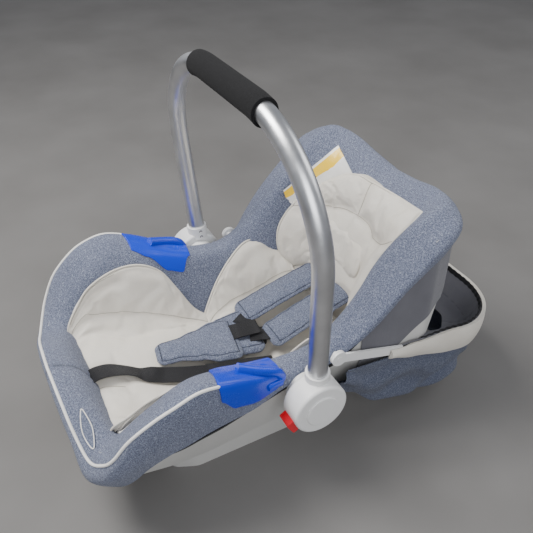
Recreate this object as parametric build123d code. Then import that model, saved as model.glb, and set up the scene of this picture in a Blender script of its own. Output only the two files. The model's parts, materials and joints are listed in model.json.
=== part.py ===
from build123d import *
import os
from math import cos, radians, sin, tan

# Infant car seat, in millimetres. X is across the seat, +Y runs from the foot end to the head end, Z is up.
# Y is counted from the handle's hub axis while the pieces are made, and moved to the row's origin at the end.

# Bucket, seen from above
foot_reach = 341.0            # hub axis to the foot lip
foot_half_width = 215.0
lip_half_width = 150.0
hub_half_width = 190.0
head_half_width = 203.0
head_reach = 303.0            # hub axis to the back of the head rim
head_wide_end_y = 226.0       # the head wings draw in behind this, so that the handle can pass
head_shoulder_half_width = 180.0
head_shoulder_y = 274.0
head_corner_half_width = 146.0
foot_wide_y = -205.0          # where the foot end is widest
guide_front_y = -143.0        # front end of the belt guides
hub_front_y = -30.0
hub_rear_y = 80.0
wing_y = 150.0                # where the head wings reach their full width

# Bucket, seen from the side: heights of the rim's top
lip_height = 140.0
foot_corner_height = 166.0
foot_bend_height = 220.0
foot_rim_height = 264.0
hub_rim_height = 206.0
wing_rise_height = 314.0
wing_top_height = 386.0
head_rim_height = 374.0
bucket_bottom = 52.0
rim_level = 175.0             # the sides are upright above this height and taper in below it

# Skins and walls
cover_thickness = 6.0
lining_thickness = 4.0
shell_wall = 4.0
layer_gap = 0.5
binding_width = 7.0
piping_size = 4.0
piping_proud = 3.0
piping_height = 6.0

# Well that the child sits in
well_half_width = 150.0
well_waist_half_width = 118.0
well_head_half_width = 136.0
well_front_y = -285.0
well_back_y = 262.0
well_floor_taper = 26.0       # how much narrower each side of the well is at its floor

# Base
base_half_width = 130.0
base_shoulder_half_width = 150.0
base_front_y = -199.0
base_rear_y = 125.0
base_shoulder_front_y = -230.0
base_shoulder_rear_y = 165.0
base_shoulder_height = 96.0
base_wall = 4.0
runner_width = 16.0
runner_height = 6.0

# Handle
hub_height = 168.0
hub_radius = 44.0
hub_inner_x = 204.6
hub_outer_x = 246.0
handle_height = 416.0         # hub axis to the centre of the grip
handle_lean = 3.6             # degrees towards the foot end
leg_offset = 8.0              # the legs stand this far behind the hub axis
leg_root_half_width = 216.5
leg_half_width = 235.5
handle_half_width = 238.0
leg_bend_height = 235.0
handle_bend_radius = 165.0
leg_bend_radius = 300.0
tube_radius = 15.0
tube_wall = 2.0
grip_radius = 19.5
grip_half_length = 102.0
socket_radius = 18.5
socket_top = 57.0
socket_bottom = 34.0
tube_bottom = 37.0
fit_clearance = 0.05
moving_gap = 0.5
pivot_radius = 8.0
mount_radius = 30.0
neck_radius = 14.0
neck_inner_x = 176.0
hole_inner_x = 168.0
cap_radius = 27.0
cap_depth = 5.0
cap_proud = 3.0
screw_radius = 3.2

# Handle release buttons
button_height = 24.0
button_depth = 16.0
button_proud = 11.0
button_side_wall = 6.0
button_clearance = 0.4
button_angle = 211.0          # degrees round the hub from +Y, towards +Z
button_travel = 6.0
spring_radius = 4.0

# Canopy
canopy_pivot_y = 60.0
canopy_pivot_height = 202.0
canopy_reach = 362.0          # pivot to the back of the hoop
canopy_tilt = 11.0            # degrees that the folded hoop hangs below level
canopy_disc_radius = 13.0
canopy_pin_radius = 4.0
canopy_neck_radius = 7.0
arm_thickness = 4.0
arm_root_x = 193.6
arm_width = 16.0
arm_end_reach = 115.0
hoop_half_width = 209.6
hoop_corner_radius = 118.0
bow_thickness = 2.5
bow_width = 12.0
trim_thickness = 5.9
trim_width = 46.0
fabric_thickness = 3.0
fabric_drop = 52.0
fabric_front_reach = 62.0

# Harness and pads
pad_thickness = 15.0
pad_gap = 0.6
pillow_thickness = 24.0
pillow_half_width = 104.0
pillow_bottom = 206.0
pillow_top = 376.0
pad_side_height = 205.0
pad_split_y = -7.0            # where the seat pad ends and the body pad begins
shoulder_pad_width = 52.0
shoulder_pad_thickness = 13.0
shoulder_pad_length = 148.0
shoulder_spacing = 41.0
harness_front_height = 124.0
harness_slope = 17.0
strap_width = 26.0
strap_thickness = 2.0
strap_gap = 1.0
crotch_pad_half_width = 43.0
crotch_pad_front_half_width = 30.0
crotch_pad_front_y = -168.0
crotch_pad_rear_y = -30.0
crotch_pad_bottom = 122.5
crotch_pad_thickness = 16.0
crotch_pad_shift = -14.0
crotch_strap_y = -100.0
crotch_strap_height = 92.0
strap_lead = 8.0              # strap ahead of the place where its pad begins
strap_start = 4.0             # behind the buckle
shell_back_depth = 51.0       # head rim to just behind the shell's back, at the straps' height
buckle_width = 46.0
buckle_length = 54.0
buckle_thickness = 17.0
buckle_y = 3.0
buckle_height = 108.5
buckle_button_width = 20.0
buckle_button_length = 16.0
buckle_button_travel = 3.0
tongue_thickness = 3.0
adjuster_width = 36.0
adjuster_height = 122.0
adjuster_pin_radius = 2.5
housing_inset = 13.0
housing_depth = 18.0
cheek_thickness = 3.0
pocket_floor = 100.0
adjuster_turn = 14.0          # how far the loose strap swings to the side, in degrees
yoke_thickness = 3.0
yoke_height = 24.0

# Belt guides
guide_wall = 3.5
guide_rear_y = -34.0
guide_inner_x = 162.0
guide_skirt = 38.0
hook_width = 24.0
hook_length = 34.0
hook_height = 20.0
hook_slot = 6.0
hook_wall = 8.0

# Labels
tag_width = 74.0
tag_length = 44.0
patch_width = 46.0
patch_length = 22.0
patch_inset = 24.0            # from the foot lip to the patch
patch_edge_x = 66.0
tag_inset = 60.0              # from the back of the head rim to the tag's front edge
tag_edge_x = 30.0
label_thickness = 0.6
label_gap = 0.2

# The row's origin is under the middle of the whole length, on the floor
tilt = radians(canopy_tilt)
rear_reach = canopy_pivot_y + canopy_reach * cos(tilt) + trim_width / 2 * sin(tilt)
hub_y = (foot_reach - rear_reach) / 2
lean = radians(handle_lean)
cap_floor_x = hub_outer_x - cap_depth
button_end = hub_radius + button_proud
button_start = button_end - button_depth - button_proud
slot_floor = button_start - button_travel - 2.0
button_wide = cap_floor_x - hub_inner_x - 2 * button_side_wall
bow_inset = (trim_thickness - bow_thickness) / 2
arm_end_x = hoop_half_width - (trim_thickness - arm_thickness) / 2 - arm_thickness

# Limits of cutting blocks, past every piece
above_all = 620.0
beyond_x = 300.0
beyond_y = 600.0


def save(shape, name):
    """Moves a piece from the hub's frame to the row's and writes it."""
    moved = Pos(0, hub_y, 0) * shape
    solids = moved.solids()
    export_step(solids[0] if len(solids) == 1 else Compound(children=list(solids)), f"parts/{name}.step")


def mirrored(shape):
    return mirror(shape, about=Plane.YZ)


def rounded(points, radii):
    """A closed outline of straight runs and arcs."""
    return make_face(FilletPolyline(*points, radius=radii, close=True))


def both_sides(half_points, half_radii):
    """An outline symmetric about X = 0, from its points on the +X side."""
    points = half_points + [(-x, y) for x, y in reversed(half_points)]
    return rounded(points, half_radii + half_radii[::-1])


def prism(points, radii, half_width, inset=0.0):
    """A side view outline in Y and Z, carried across the seat."""
    face = rounded(points, radii)
    if inset:
        face = offset(face, amount=-inset)
    return extrude(Plane.YZ * face, amount=half_width, both=True)


rim_top = [
    (-foot_reach, lip_height),
    (-foot_reach + 37, foot_corner_height),
    (-foot_reach + 74, foot_bend_height),
    (foot_wide_y, foot_rim_height - 6),
    (guide_front_y - 28, foot_rim_height),
    (hub_front_y, hub_rim_height),
    (hub_rear_y - 10, hub_rim_height),
    (wing_y, wing_rise_height),
    (wing_y + 70, wing_top_height - 6),
    (head_reach - 32, wing_top_height),
    (head_reach, head_rim_height),
]
rim_top_radii = [12, 40, 60, 60, 60, 80, 60, 80, 50, 30, 12]
underside = [
    (head_reach - 5, 322),
    (head_reach - 28, 240),
    (head_reach - 63, 160),
    (head_reach - 113, 92),
    (head_reach - 163, bucket_bottom),
    (-185, bucket_bottom),
    (-foot_reach + 46, 70),
    (-foot_reach + 4, 118),
]
underside_radii = [40, 60, 60, 60, 60, 60, 30, 25]
cover_edge = [
    (-foot_reach + 66, 76),
    (-244, 152),
    (-177, 168),
    (hub_front_y - 18, 180),
    (hub_rear_y - 12, 192),
    (wing_y - 45, 230),
    (wing_y - 7, 276),
    (wing_y + 33, 320),
    (wing_y + 85, 350),
    (head_reach + 20, 352),
]


def plan(level, inset):
    """The bucket's outline seen from above, at the rim or at its keel."""
    if level == "rim":
        half = [
            (lip_half_width, -foot_reach),
            (foot_half_width - 14, -foot_reach + 46),
            (foot_half_width, foot_wide_y),
            (foot_half_width - 6, guide_front_y),
            (hub_half_width, hub_front_y),
            (hub_half_width, hub_rear_y),
            (head_half_width, wing_y),
            (head_half_width, head_wide_end_y),
            (head_shoulder_half_width, head_shoulder_y),
            (head_corner_half_width, head_reach),
        ]
        height = rim_level
    else:
        half = [
            (lip_half_width - 30, -foot_reach + 40),
            (foot_half_width - 75, -foot_reach + 62),
            (foot_half_width - 68, foot_wide_y),
            (foot_half_width - 66, guide_front_y),
            (hub_half_width - 45, hub_front_y),
            (hub_half_width - 45, hub_rear_y),
            (head_half_width - 55, wing_y),
            (head_half_width - 52, head_wide_end_y - 20),
            (head_shoulder_half_width - 48, head_shoulder_y - 26),
            (head_corner_half_width - 40, head_reach - 30),
        ]
        height = bucket_bottom - 20
    face = both_sides(half, [30, 40, 120, 200, 120, 120, 120, 40, 30, 30])
    if inset:
        face = offset(face, amount=-inset)
    return Pos(0, 0, height) * face


def upright_sides(inset):
    """The block inside the bucket's four sides, with no rim and no keel cut yet."""
    rim = plan("rim", inset)
    return loft([plan("keel", inset), rim], ruled=True) + extrude(rim, amount=wing_top_height)


def bucket(inset):
    """The bucket as a full block, drawn in by inset on every side."""
    profile = prism(rim_top + underside, rim_top_radii + underside_radii, beyond_x, inset)
    return upright_sides(inset) & profile


well_floor = [
    (well_front_y, 128),
    (well_front_y + 40, 112),
    (-20, 78),
    (50, 84),
    (120, 106),
    (185, 148),
    (215, 212),
    (238, 290),
    (250, 400),
]
well_floor_radii = [20, 80, 120, 80, 80, 60, 60, 60]


def well(grow):
    """The hollow that the child sits in, larger all round by grow."""
    half = [
        (well_half_width - 50, well_front_y),
        (well_half_width, well_front_y + 55),
        (well_half_width, -150),
        (well_waist_half_width, -20),
        (well_waist_half_width, 60),
        (well_head_half_width, wing_y),
        (well_head_half_width, well_back_y - 50),
        (well_head_half_width - 50, well_back_y),
    ]
    radii = [40, 50, 80, 80, 80, 80, 40, 40]
    top = offset(both_sides(half, radii), amount=grow + well_floor_taper / 2)
    bottom = offset(both_sides(half, radii), amount=grow - well_floor_taper / 2)
    hollow = loft([Pos(0, 0, 50) * bottom, Pos(0, 0, above_all) * top], ruled=True)
    outline = well_floor + [(well_back_y, above_all), (well_front_y - 8, above_all)]
    return hollow & prism(outline, [20] + well_floor_radii + [1, 1], beyond_x, -grow)


def above(line, drop):
    """Everything above a side view line that is lowered by drop."""
    low = [(y, z - drop) for y, z in line]
    corners = [(-beyond_y, line[0][1] - drop)]
    points = corners + low + [(beyond_y, low[-1][1]), (beyond_y, above_all), (-beyond_y, above_all)]
    return extrude(Plane.YZ * make_face(Polyline(*points, close=True)), amount=beyond_x, both=True)


def slab(x0, x1, y0, y1, z0, z1):
    """A block between two corners."""
    centre = ((x0 + x1) / 2, (y0 + y1) / 2, (z0 + z1) / 2)
    return Pos(*centre) * Box(abs(x1 - x0), abs(y1 - y0), abs(z1 - z0))


def rod(radius, x0, x1, y, z):
    """A round bar along X."""
    return Pos((x0 + x1) / 2, y, z) * Rot(0, 90, 0) * Cylinder(radius, abs(x1 - x0))


# Bucket layers, from the outside in
outer_block = bucket(0)
core_block = bucket(cover_thickness)
shell_block = bucket(cover_thickness + layer_gap)
shell_inside = bucket(cover_thickness + layer_gap + shell_wall)
foam_block = bucket(cover_thickness + shell_wall + 2 * layer_gap)
well_space = well(0)
lining_space = well(lining_thickness)
foam_space = well(lining_thickness + layer_gap)

# Holes through the sides: the handle's pivots and the canopy's
def hole_pair(radius, y, z):
    return rod(radius, hole_inner_x, beyond_x, y, z) + rod(radius, -beyond_x, -hole_inner_x, y, z)


side_holes = hole_pair(neck_radius + layer_gap, 0, hub_height)
canopy_holes = hole_pair(canopy_neck_radius + layer_gap, canopy_pivot_y, canopy_pivot_height)
pocket_half = adjuster_width / 2 + 1
pocket_ends = (well_front_y - 15, well_front_y + 30)
adjuster_pocket = slab(-pocket_half, pocket_half, *pocket_ends, pocket_floor - 2, rim_level - 5)


def make_shell():
    lifted = Pos(0, 0, 4 * shell_wall) * shell_inside
    shell = shell_block - shell_inside - lifted
    return shell - side_holes - canopy_holes


def make_foam():
    return foam_block - foam_space - side_holes - canopy_holes - adjuster_pocket


def make_cover():
    skin = (outer_block - core_block - well_space) & above(cover_edge, 0)
    lining = (lining_space - well_space) & bucket(cover_thickness / 2)
    return skin + lining - side_holes - canopy_holes - adjuster_pocket


def make_binding():
    band = above(cover_edge, binding_width) - above(cover_edge, layer_gap)
    return ((bucket(1.0) - core_block) & band) - side_holes - canopy_holes


def make_piping():
    edge = rim_top[:7]
    ahead = slab(-beyond_x, beyond_x, -beyond_y, guide_front_y - 2, 0, above_all)
    ring = (bucket(-piping_proud) - bucket(-0.3)) & above(edge, piping_height) & ahead
    return ring - upright_sides(piping_size)


def make_base():
    """A hollow tub, open below, that cups the bucket and stands on a flat runner flange."""
    floor_half = [
        (base_half_width - 18, base_front_y),
        (base_half_width, base_front_y + 40),
        (base_half_width, base_rear_y - 40),
        (base_half_width - 18, base_rear_y),
    ]
    top_half = [
        (base_shoulder_half_width - 18, base_shoulder_front_y),
        (base_shoulder_half_width, base_shoulder_front_y + 40),
        (base_shoulder_half_width, base_shoulder_rear_y - 40),
        (base_shoulder_half_width - 18, base_shoulder_rear_y),
    ]
    radii = [20, 40, 40, 20]

    def tub(inset):
        floor = offset(both_sides(floor_half, radii), amount=-inset)
        top = offset(both_sides(top_half, radii), amount=-inset)
        return loft([floor, Pos(0, 0, base_shoulder_height) * top], ruled=True)

    wall = tub(0) - tub(base_wall)
    rib = slab(-beyond_x, beyond_x, -base_wall / 2, base_wall / 2, 0, above_all) & tub(base_wall - 1)
    runners = (tub(0) - tub(runner_width)) & slab(-beyond_x, beyond_x, -beyond_y, beyond_y, 0, runner_height)
    return wall + rib + runners - bucket(cover_thickness)


# Harness: a straight line over the pads, from the buckle to the slots behind the shoulders
harness_front_y = buckle_y + buckle_length / 2 + strap_start
harness_exit_y = head_reach - shell_back_depth
harness_reach = strap_lead + (harness_exit_y - harness_front_y) / cos(radians(harness_slope))


def on_harness(side, along, lift):
    """A place on the harness line, a distance along it and a height above it."""
    slope = radians(harness_slope)
    start = (side * shoulder_spacing, harness_front_y, harness_front_height)
    plane = Plane(origin=start, x_dir=(1, 0, 0), z_dir=(0, -sin(slope), cos(slope)))
    return plane * Pos(0, along, lift)


def strap_block(side, grow):
    """A shoulder strap, or with grow the slot that it passes through."""
    block = Box(strap_width + 2 * grow, harness_reach, strap_thickness + 2 * grow)
    return on_harness(side, harness_reach / 2 - strap_lead, shoulder_pad_thickness / 2) * block


strap_slots = [strap_block(side, strap_gap) for side in (-1, 1)]
past_pads = slab(-beyond_x, beyond_x, harness_front_y + shoulder_pad_length * 0.8, beyond_y, 0, above_all)


def pad_layer(y_from, y_to, top, thickness):
    """A layer on the well's floor and sides, between two stations and below a height."""
    layer = well(-pad_gap) - well(-thickness)
    return layer & slab(-beyond_x, beyond_x, y_from, y_to, 0, top)


def make_seat_pad():
    notch = slab(-pocket_half, pocket_half, -beyond_y, well_front_y + 26, 0, above_all)
    slot_half = strap_width / 2 + strap_gap
    crotch_slot = slab(-slot_half, slot_half, crotch_strap_y - 3, crotch_strap_y + 3, 0, above_all)
    pad = pad_layer(-beyond_y, pad_split_y - pad_gap, pad_side_height, pad_thickness)
    return pad - notch - crotch_slot


def make_body_pad():
    rear_y = well_floor[6][0] - 10
    pad = pad_layer(pad_split_y + pad_gap, rear_y, pad_side_height + 45, pad_thickness)
    for slot in strap_slots:
        pad = pad - (slot & past_pads)
    return pad


def make_pillow():
    layer = well(-pad_gap) - well(-pillow_thickness)
    rear_y = well_floor[6][0] - 10
    bounds = slab(-pillow_half_width, pillow_half_width, rear_y + pad_gap, beyond_y, pillow_bottom, pillow_top)
    return layer & bounds


def make_shoulder_pad(side):
    pad = Box(shoulder_pad_width, shoulder_pad_length, shoulder_pad_thickness)
    pad = fillet(pad.edges().filter_by(Axis.Z), shoulder_pad_width / 3)
    return on_harness(side, shoulder_pad_length / 2, shoulder_pad_thickness / 2) * pad - strap_block(side, 0.3)


def make_crotch_pad():
    wide_y = crotch_pad_rear_y - 45
    half = [
        (crotch_pad_front_half_width, crotch_pad_front_y),
        (crotch_pad_front_half_width, wide_y - 20),
        (crotch_pad_half_width, wide_y),
        (crotch_pad_half_width, crotch_pad_rear_y),
    ]
    pad = extrude(both_sides(half, [16, 10, 10, 14]), amount=crotch_pad_thickness)
    return Pos(crotch_pad_shift, 0, crotch_pad_bottom) * pad


def make_crotch_strap():
    """Webbing from under the seat pad, bent back below the crotch pad to the buckle."""
    under = crotch_pad_bottom - 1
    half = strap_width / 2
    end_y = buckle_y - buckle_length / 2 - 1
    upright = slab(-half, half, crotch_strap_y - 1, crotch_strap_y + 1, crotch_strap_height, under)
    level = slab(-half, half, crotch_strap_y - 1, end_y, under - strap_thickness, under)
    down = slab(-half, half, end_y - strap_thickness, end_y, buckle_height, under)
    return upright + level + down


buckle_place = Pos(0, buckle_y, buckle_height)
button_place = Pos(0, -buckle_length / 4, buckle_thickness / 2)


def make_buckle():
    body = fillet(Box(buckle_width, buckle_length, buckle_thickness).edges().filter_by(Axis.Z), 6)
    deep = 2 * (buckle_button_travel + 2.5)
    recess = button_place * Box(buckle_button_width + 1, buckle_button_length + 1, deep)
    mouth = Pos(0, buckle_length / 2, -1.5) * Box(buckle_width - 10, 14, tongue_thickness + 2)
    return buckle_place * (body - recess - mouth)


def make_buckle_button():
    plate = Pos(0, 0, 0.5 - buckle_button_travel / 2 + 0.5) * Box(
        buckle_button_width, buckle_button_length, buckle_button_travel)
    return buckle_place * button_place * plate


def make_tongues():
    blades = []
    for side in (-1, 1):
        blade = Box(buckle_width / 2 - 8, 18, tongue_thickness)
        blades.append(buckle_place * Pos(side * (buckle_width / 4 - 2), buckle_length / 2 + 3, -1.5) * blade)
    return Compound(children=blades)


# Harness adjuster, in a pocket at the foot end of the well
housing_back_y = well_front_y - housing_inset
housing_front_y = housing_back_y + housing_depth
lever_pin_y = housing_front_y - 6.0


def make_adjuster_housing():
    half = adjuster_width / 2
    top = adjuster_height + 10
    back = slab(-half, half, housing_back_y, housing_back_y + cheek_thickness, pocket_floor, top)
    inner = half - cheek_thickness
    sides = [slab(s * half, s * inner, housing_back_y, housing_front_y, pocket_floor, top) for s in (-1, 1)]
    bore = rod(adjuster_pin_radius + fit_clearance, -beyond_x, beyond_x, lever_pin_y, adjuster_height)
    return back + sides[0] + sides[1] - bore


def make_adjuster_lever():
    half = adjuster_width / 2 - cheek_thickness - moving_gap
    pin = rod(adjuster_pin_radius, -adjuster_width / 2, adjuster_width / 2, lever_pin_y, adjuster_height)
    plate = slab(-half, half, lever_pin_y - 1.5, lever_pin_y + 1.5, pocket_floor + 4, adjuster_height)
    return pin + plate


def make_adjuster_strap():
    """Flat webbing out of the housing, back over the seat pad and off to one side."""
    y0 = housing_back_y + 9
    route = [
        (0, adjuster_height + 12),
        (14, adjuster_height + 34),
        (44, adjuster_height + 42),
        (100, adjuster_height + 32),
        (160, adjuster_height + 20),
        (220, adjuster_height + 17),
        (272, adjuster_height + 18),
    ]
    plane = Plane(origin=(0, y0, 0), x_dir=(sin(radians(adjuster_turn)), cos(radians(adjuster_turn)), 0),
                  z_dir=(cos(radians(adjuster_turn)), -sin(radians(adjuster_turn)), 0))
    path = plane * FilletPolyline(*route, radius=[14, 30, 120, 200, 300])
    start = Plane(origin=path @ 0, x_dir=plane.z_dir, z_dir=path % 0)
    return sweep(start * Rectangle(strap_width, strap_thickness), path=path)


def make_yoke():
    """The plate behind the shell that joins the two shoulder straps."""
    y = harness_exit_y + 1.5
    z = harness_front_height + (harness_exit_y - harness_front_y) * tan(radians(harness_slope))
    half = shoulder_spacing + strap_width / 2 + 6
    return slab(-half, half, y, y + yoke_thickness, z - yoke_height / 2, z + yoke_height / 2)


def make_tag():
    front_y = head_reach - tag_inset
    rear_y = front_y + tag_length
    plate = slab(-tag_width - tag_edge_x, -tag_edge_x, front_y, rear_y, wing_rise_height, above_all)
    return (bucket(-label_gap - label_thickness) - bucket(-label_gap)) & plate


def make_patch():
    front_y = -foot_reach + patch_inset
    rear_y = front_y + patch_length
    plate = slab(patch_edge_x, patch_edge_x + patch_width, front_y, rear_y, lip_height - 10, above_all)
    return (bucket(-label_gap - label_thickness) - bucket(-label_gap)) & plate


def make_guide(side):
    """A saddle over the bucket's edge with a hooked finger that holds the lap belt."""
    edge = rim_top[:7]
    reach = slab(guide_inner_x, beyond_x, guide_front_y, guide_rear_y, 0, above_all)
    saddle = (bucket(-guide_wall) - bucket(-0.4)) & above(edge, guide_skirt) & reach
    hook_x = hub_half_width - 8
    top = hub_rim_height + guide_wall + 9
    hook_front_y = guide_rear_y - hook_length
    hook_rear_y = guide_rear_y - 2
    hook_side = hook_width / 2
    low = top + 7
    peak = top + hook_height
    finger = slab(hook_x - hook_side, hook_x + hook_side - 3, hook_front_y, hook_rear_y, top - 12, peak)
    gap = slab(hook_x - 50, hook_x + 50, hook_front_y + hook_wall, guide_rear_y + 10, low, low + hook_slot)
    guide = saddle + ((finger - gap) - bucket(-0.4))
    guide = guide - screw_rods(0.1)
    return guide if side > 0 else mirrored(guide)


def screw_rods(grow):
    """Two screws in each belt guide's skirt."""
    rods = [rod(screw_radius + grow, foot_half_width - 22, foot_half_width + 4, y, hub_rim_height + 14)
            for y in (guide_front_y + 14, guide_front_y + 40)]
    return rods[0] + rods[1]


def make_guide_screws():
    near = screw_rods(0) & (bucket(-guide_wall) - bucket(-0.4))
    pieces = []
    for solid in near.solids():
        pieces += [solid, mirrored(solid)]
    return Compound(children=pieces)


def make_mount(side):
    """The boss on the bucket's side that carries the handle's hub, with its pivot."""
    boss = rod(mount_radius, hub_half_width + moving_gap, hub_inner_x - moving_gap, 0, hub_height)
    neck = rod(neck_radius, neck_inner_x, hub_half_width + moving_gap, 0, hub_height)
    pivot = rod(pivot_radius, hub_inner_x - moving_gap, cap_floor_x, 0, hub_height)
    mount = boss + neck + pivot
    return mount if side > 0 else mirrored(mount)


# The handle's plane leans towards the foot end; its points are across the seat and up the handle
handle_plane = Plane(origin=(0, leg_offset, hub_height), x_dir=(1, 0, 0), z_dir=(0, -cos(lean), -sin(lean)))


def leg_x(up):
    """How far out a leg's centre is, a distance up from the hub."""
    share = (up - 10) / (leg_bend_height - 10)
    return leg_root_half_width + (leg_half_width - leg_root_half_width) * share


def handle_path():
    right = [
        (leg_x(tube_bottom), tube_bottom),
        (leg_half_width, leg_bend_height),
        (handle_half_width, handle_height),
    ]
    points = [(-x, y) for x, y in right] + right[::-1]
    radii = [leg_bend_radius, handle_bend_radius, handle_bend_radius, leg_bend_radius]
    return handle_plane * FilletPolyline(*points, radius=radii)


def ring_sweep(outer, inner):
    path = handle_path()
    start = Plane(origin=path @ 0, z_dir=path % 0)
    return sweep(start * (Circle(outer) - Circle(inner)), path=path)


def make_tube():
    return ring_sweep(tube_radius, tube_radius - tube_wall)


def make_grip():
    sleeve = ring_sweep(grip_radius, tube_radius + fit_clearance)
    return sleeve & slab(-grip_half_length, grip_half_length, -beyond_y, beyond_y, 0, above_all)


def leg_rod(radius, low, high):
    """A round bar along the right leg's centre line."""
    ends = [handle_plane.from_local_coords(Vector(leg_x(up), up, 0)) for up in (low, high)]
    run = ends[1] - ends[0]
    return extrude(Plane(origin=ends[0], z_dir=run) * Circle(radius), amount=run.length)


def button_plane():
    """Placed at the hub's axis, with its Y axis pointing outward through the release button."""
    turn = radians(button_angle)
    middle = (hub_inner_x + cap_floor_x) / 2
    return Plane(origin=(middle, 0, hub_height), x_dir=(1, 0, 0), z_dir=(0, -sin(turn), cos(turn)))


def make_hub_arm(side):
    hub = rod(hub_radius, hub_inner_x, hub_outer_x, 0, hub_height)
    hub = fillet(hub.edges().filter_by(GeomType.CIRCLE), 5)
    socket = leg_rod(socket_radius, socket_bottom, socket_top)
    slot_size = (button_wide + 2 * button_clearance, 2 * hub_radius, button_height + 2 * button_clearance)
    slot = button_plane() * Pos(0, slot_floor + hub_radius, 0) * Box(*slot_size)
    arm = hub + socket - leg_rod(tube_radius + fit_clearance, tube_bottom, socket_top + 10)
    arm = arm - rod(pivot_radius + fit_clearance, 0, beyond_x, 0, hub_height)
    arm = arm - rod(cap_radius + fit_clearance, cap_floor_x, beyond_x, 0, hub_height)
    arm = arm - slot - handle_screw_rods(0.1)
    return arm if side > 0 else mirrored(arm)


def make_cap(side):
    cap = rod(cap_radius, cap_floor_x + 0.1, hub_outer_x + cap_proud, 0, hub_height)
    cap = fillet(cap.edges().filter_by(GeomType.CIRCLE).sort_by(Axis.X)[-1], 2.5)
    return cap if side > 0 else mirrored(cap)


def handle_screw_rods(grow):
    """Two screws through the inner face of each socket."""
    rods = []
    for up in (socket_bottom + 6, socket_top - 6):
        centre = handle_plane.from_local_coords(Vector(leg_x(up), up, 0))
        rods.append(rod(screw_radius + grow, centre.X - socket_radius, centre.X - tube_radius - 0.6,
                        centre.Y, centre.Z))
    return rods[0] + rods[1]


def make_handle_screws():
    pieces = []
    for solid in handle_screw_rods(0).solids():
        pieces += [solid, mirrored(solid)]
    return Compound(children=pieces)


def make_release_button(side):
    length = button_end - button_start
    block = Pos(0, button_start + length / 2, 0) * Box(button_wide, length, button_height)
    block = fillet(block.edges().filter_by(Axis.X), 3)
    pocket = Pos(0, button_start, 0) * Rot(90, 0, 0) * Cylinder(spring_radius + 0.6, 30)
    button = button_plane() * (block - pocket)
    return button if side > 0 else mirrored(button)


def make_button_spring(side):
    ring = Cylinder(spring_radius, 15.8) - Cylinder(spring_radius - 1, 20)
    spring = button_plane() * Pos(0, slot_floor + 8, 0) * Rot(90, 0, 0) * ring
    return spring if side > 0 else mirrored(spring)


def make_canopy_socket(side):
    face = arm_root_x - 0.4
    boss_start = hub_half_width + moving_gap
    boss = rod(canopy_disc_radius, boss_start, face, canopy_pivot_y, canopy_pivot_height)
    neck = rod(canopy_neck_radius, neck_inner_x, boss_start, canopy_pivot_y, canopy_pivot_height)
    pin = rod(canopy_pin_radius, face, arm_root_x + arm_thickness + 1, canopy_pivot_y, canopy_pivot_height)
    socket = boss + neck + pin
    return socket if side > 0 else mirrored(socket)


# The canopy's plane lies through its pivots; its points are across the seat and out along the hoop
canopy_pivot = (0, canopy_pivot_y, canopy_pivot_height)
canopy_plane = Plane(origin=canopy_pivot, x_dir=(1, 0, 0), z_dir=(0, sin(tilt), cos(tilt)))


def hoop_face(inset, start):
    half = hoop_half_width - inset
    far = canopy_reach - inset
    corner = hoop_corner_radius - inset
    outline = FilletPolyline((half, start), (half, far), (-half, far), (-half, start), radius=corner)
    return make_face(Wire(outline.edges() + [Line((-half, start), (half, start))]))


def hoop_prism(inset, start, low, high):
    return canopy_plane * Pos(0, 0, low) * extrude(hoop_face(inset, start), amount=high - low)


def make_canopy_arm(side):
    root = arm_root_x
    points = [
        (root, 0),
        (root, canopy_disc_radius + 3),
        (arm_end_x, arm_end_reach),
        (arm_end_x + arm_thickness, arm_end_reach),
        (root + arm_thickness, canopy_disc_radius + 3),
        (root + arm_thickness, 0),
    ]
    strip = extrude(make_face(Polyline(*points, close=True)), amount=arm_width / 2, both=True)
    disc = rod(canopy_disc_radius, root, root + arm_thickness, canopy_pivot_y, canopy_pivot_height)
    arm = canopy_plane * strip + disc
    arm = arm - rod(canopy_pin_radius + fit_clearance, 0, beyond_x, canopy_pivot_y, canopy_pivot_height)
    return arm if side > 0 else mirrored(arm)


def make_bow():
    solid = hoop_prism(bow_inset, arm_end_reach, -bow_width / 2, bow_width / 2)
    return solid - hoop_prism(bow_inset + bow_thickness, arm_end_reach - 5, -bow_width, bow_width)


def make_trim():
    start = arm_end_reach + 1
    half = trim_width / 2
    ring = hoop_prism(0, start, -half, half) - hoop_prism(trim_thickness, start - 5, -half - 1, half + 1)
    pocket = hoop_prism(bow_inset - 0.2, 0, -bow_width / 2 - 0.2, bow_width / 2 + 0.2)
    core = hoop_prism(bow_inset + bow_thickness + 0.2, -5, -bow_width, bow_width)
    return ring - (pocket - core)


def make_fabric():
    """The folded canopy: a bag that hangs from the hoop, open towards the bucket's back."""
    top = -trim_width / 2 - moving_gap
    low = top - fabric_drop
    outer = hoop_prism(moving_gap, fabric_front_reach, low, top)
    inner = hoop_prism(moving_gap + fabric_thickness, 0, low + fabric_thickness, top + 10)
    return outer - inner - bucket(-1.5)


os.makedirs("parts", exist_ok=True)
shell = make_shell()
foam = make_foam()
cover = make_cover()
for slot in strap_slots:
    behind = slot & past_pads
    shell, foam, cover = shell - behind, foam - behind, cover - behind
save(shell, "seat_shell")
save(foam, "foam_liner")
save(cover, "seat_cover")
save(make_binding(), "cover_binding")
save(make_piping(), "cover_piping")
save(make_base(), "rocker_base")
save(make_seat_pad(), "seat_pad")
save(make_body_pad(), "body_pad")
save(make_pillow(), "head_pillow")
save(make_crotch_pad(), "crotch_pad")
save(make_crotch_strap(), "crotch_strap")
save(make_buckle(), "buckle_body")
save(make_buckle_button(), "buckle_button")
save(make_tongues(), "buckle_tongues")
save(make_adjuster_housing(), "adjuster_housing")
save(make_adjuster_lever(), "adjuster_lever")
save(make_adjuster_strap(), "adjuster_strap")
save(make_yoke(), "yoke_plate")
save(make_tag(), "care_tag")
save(make_patch(), "sewn_patch")
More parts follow.
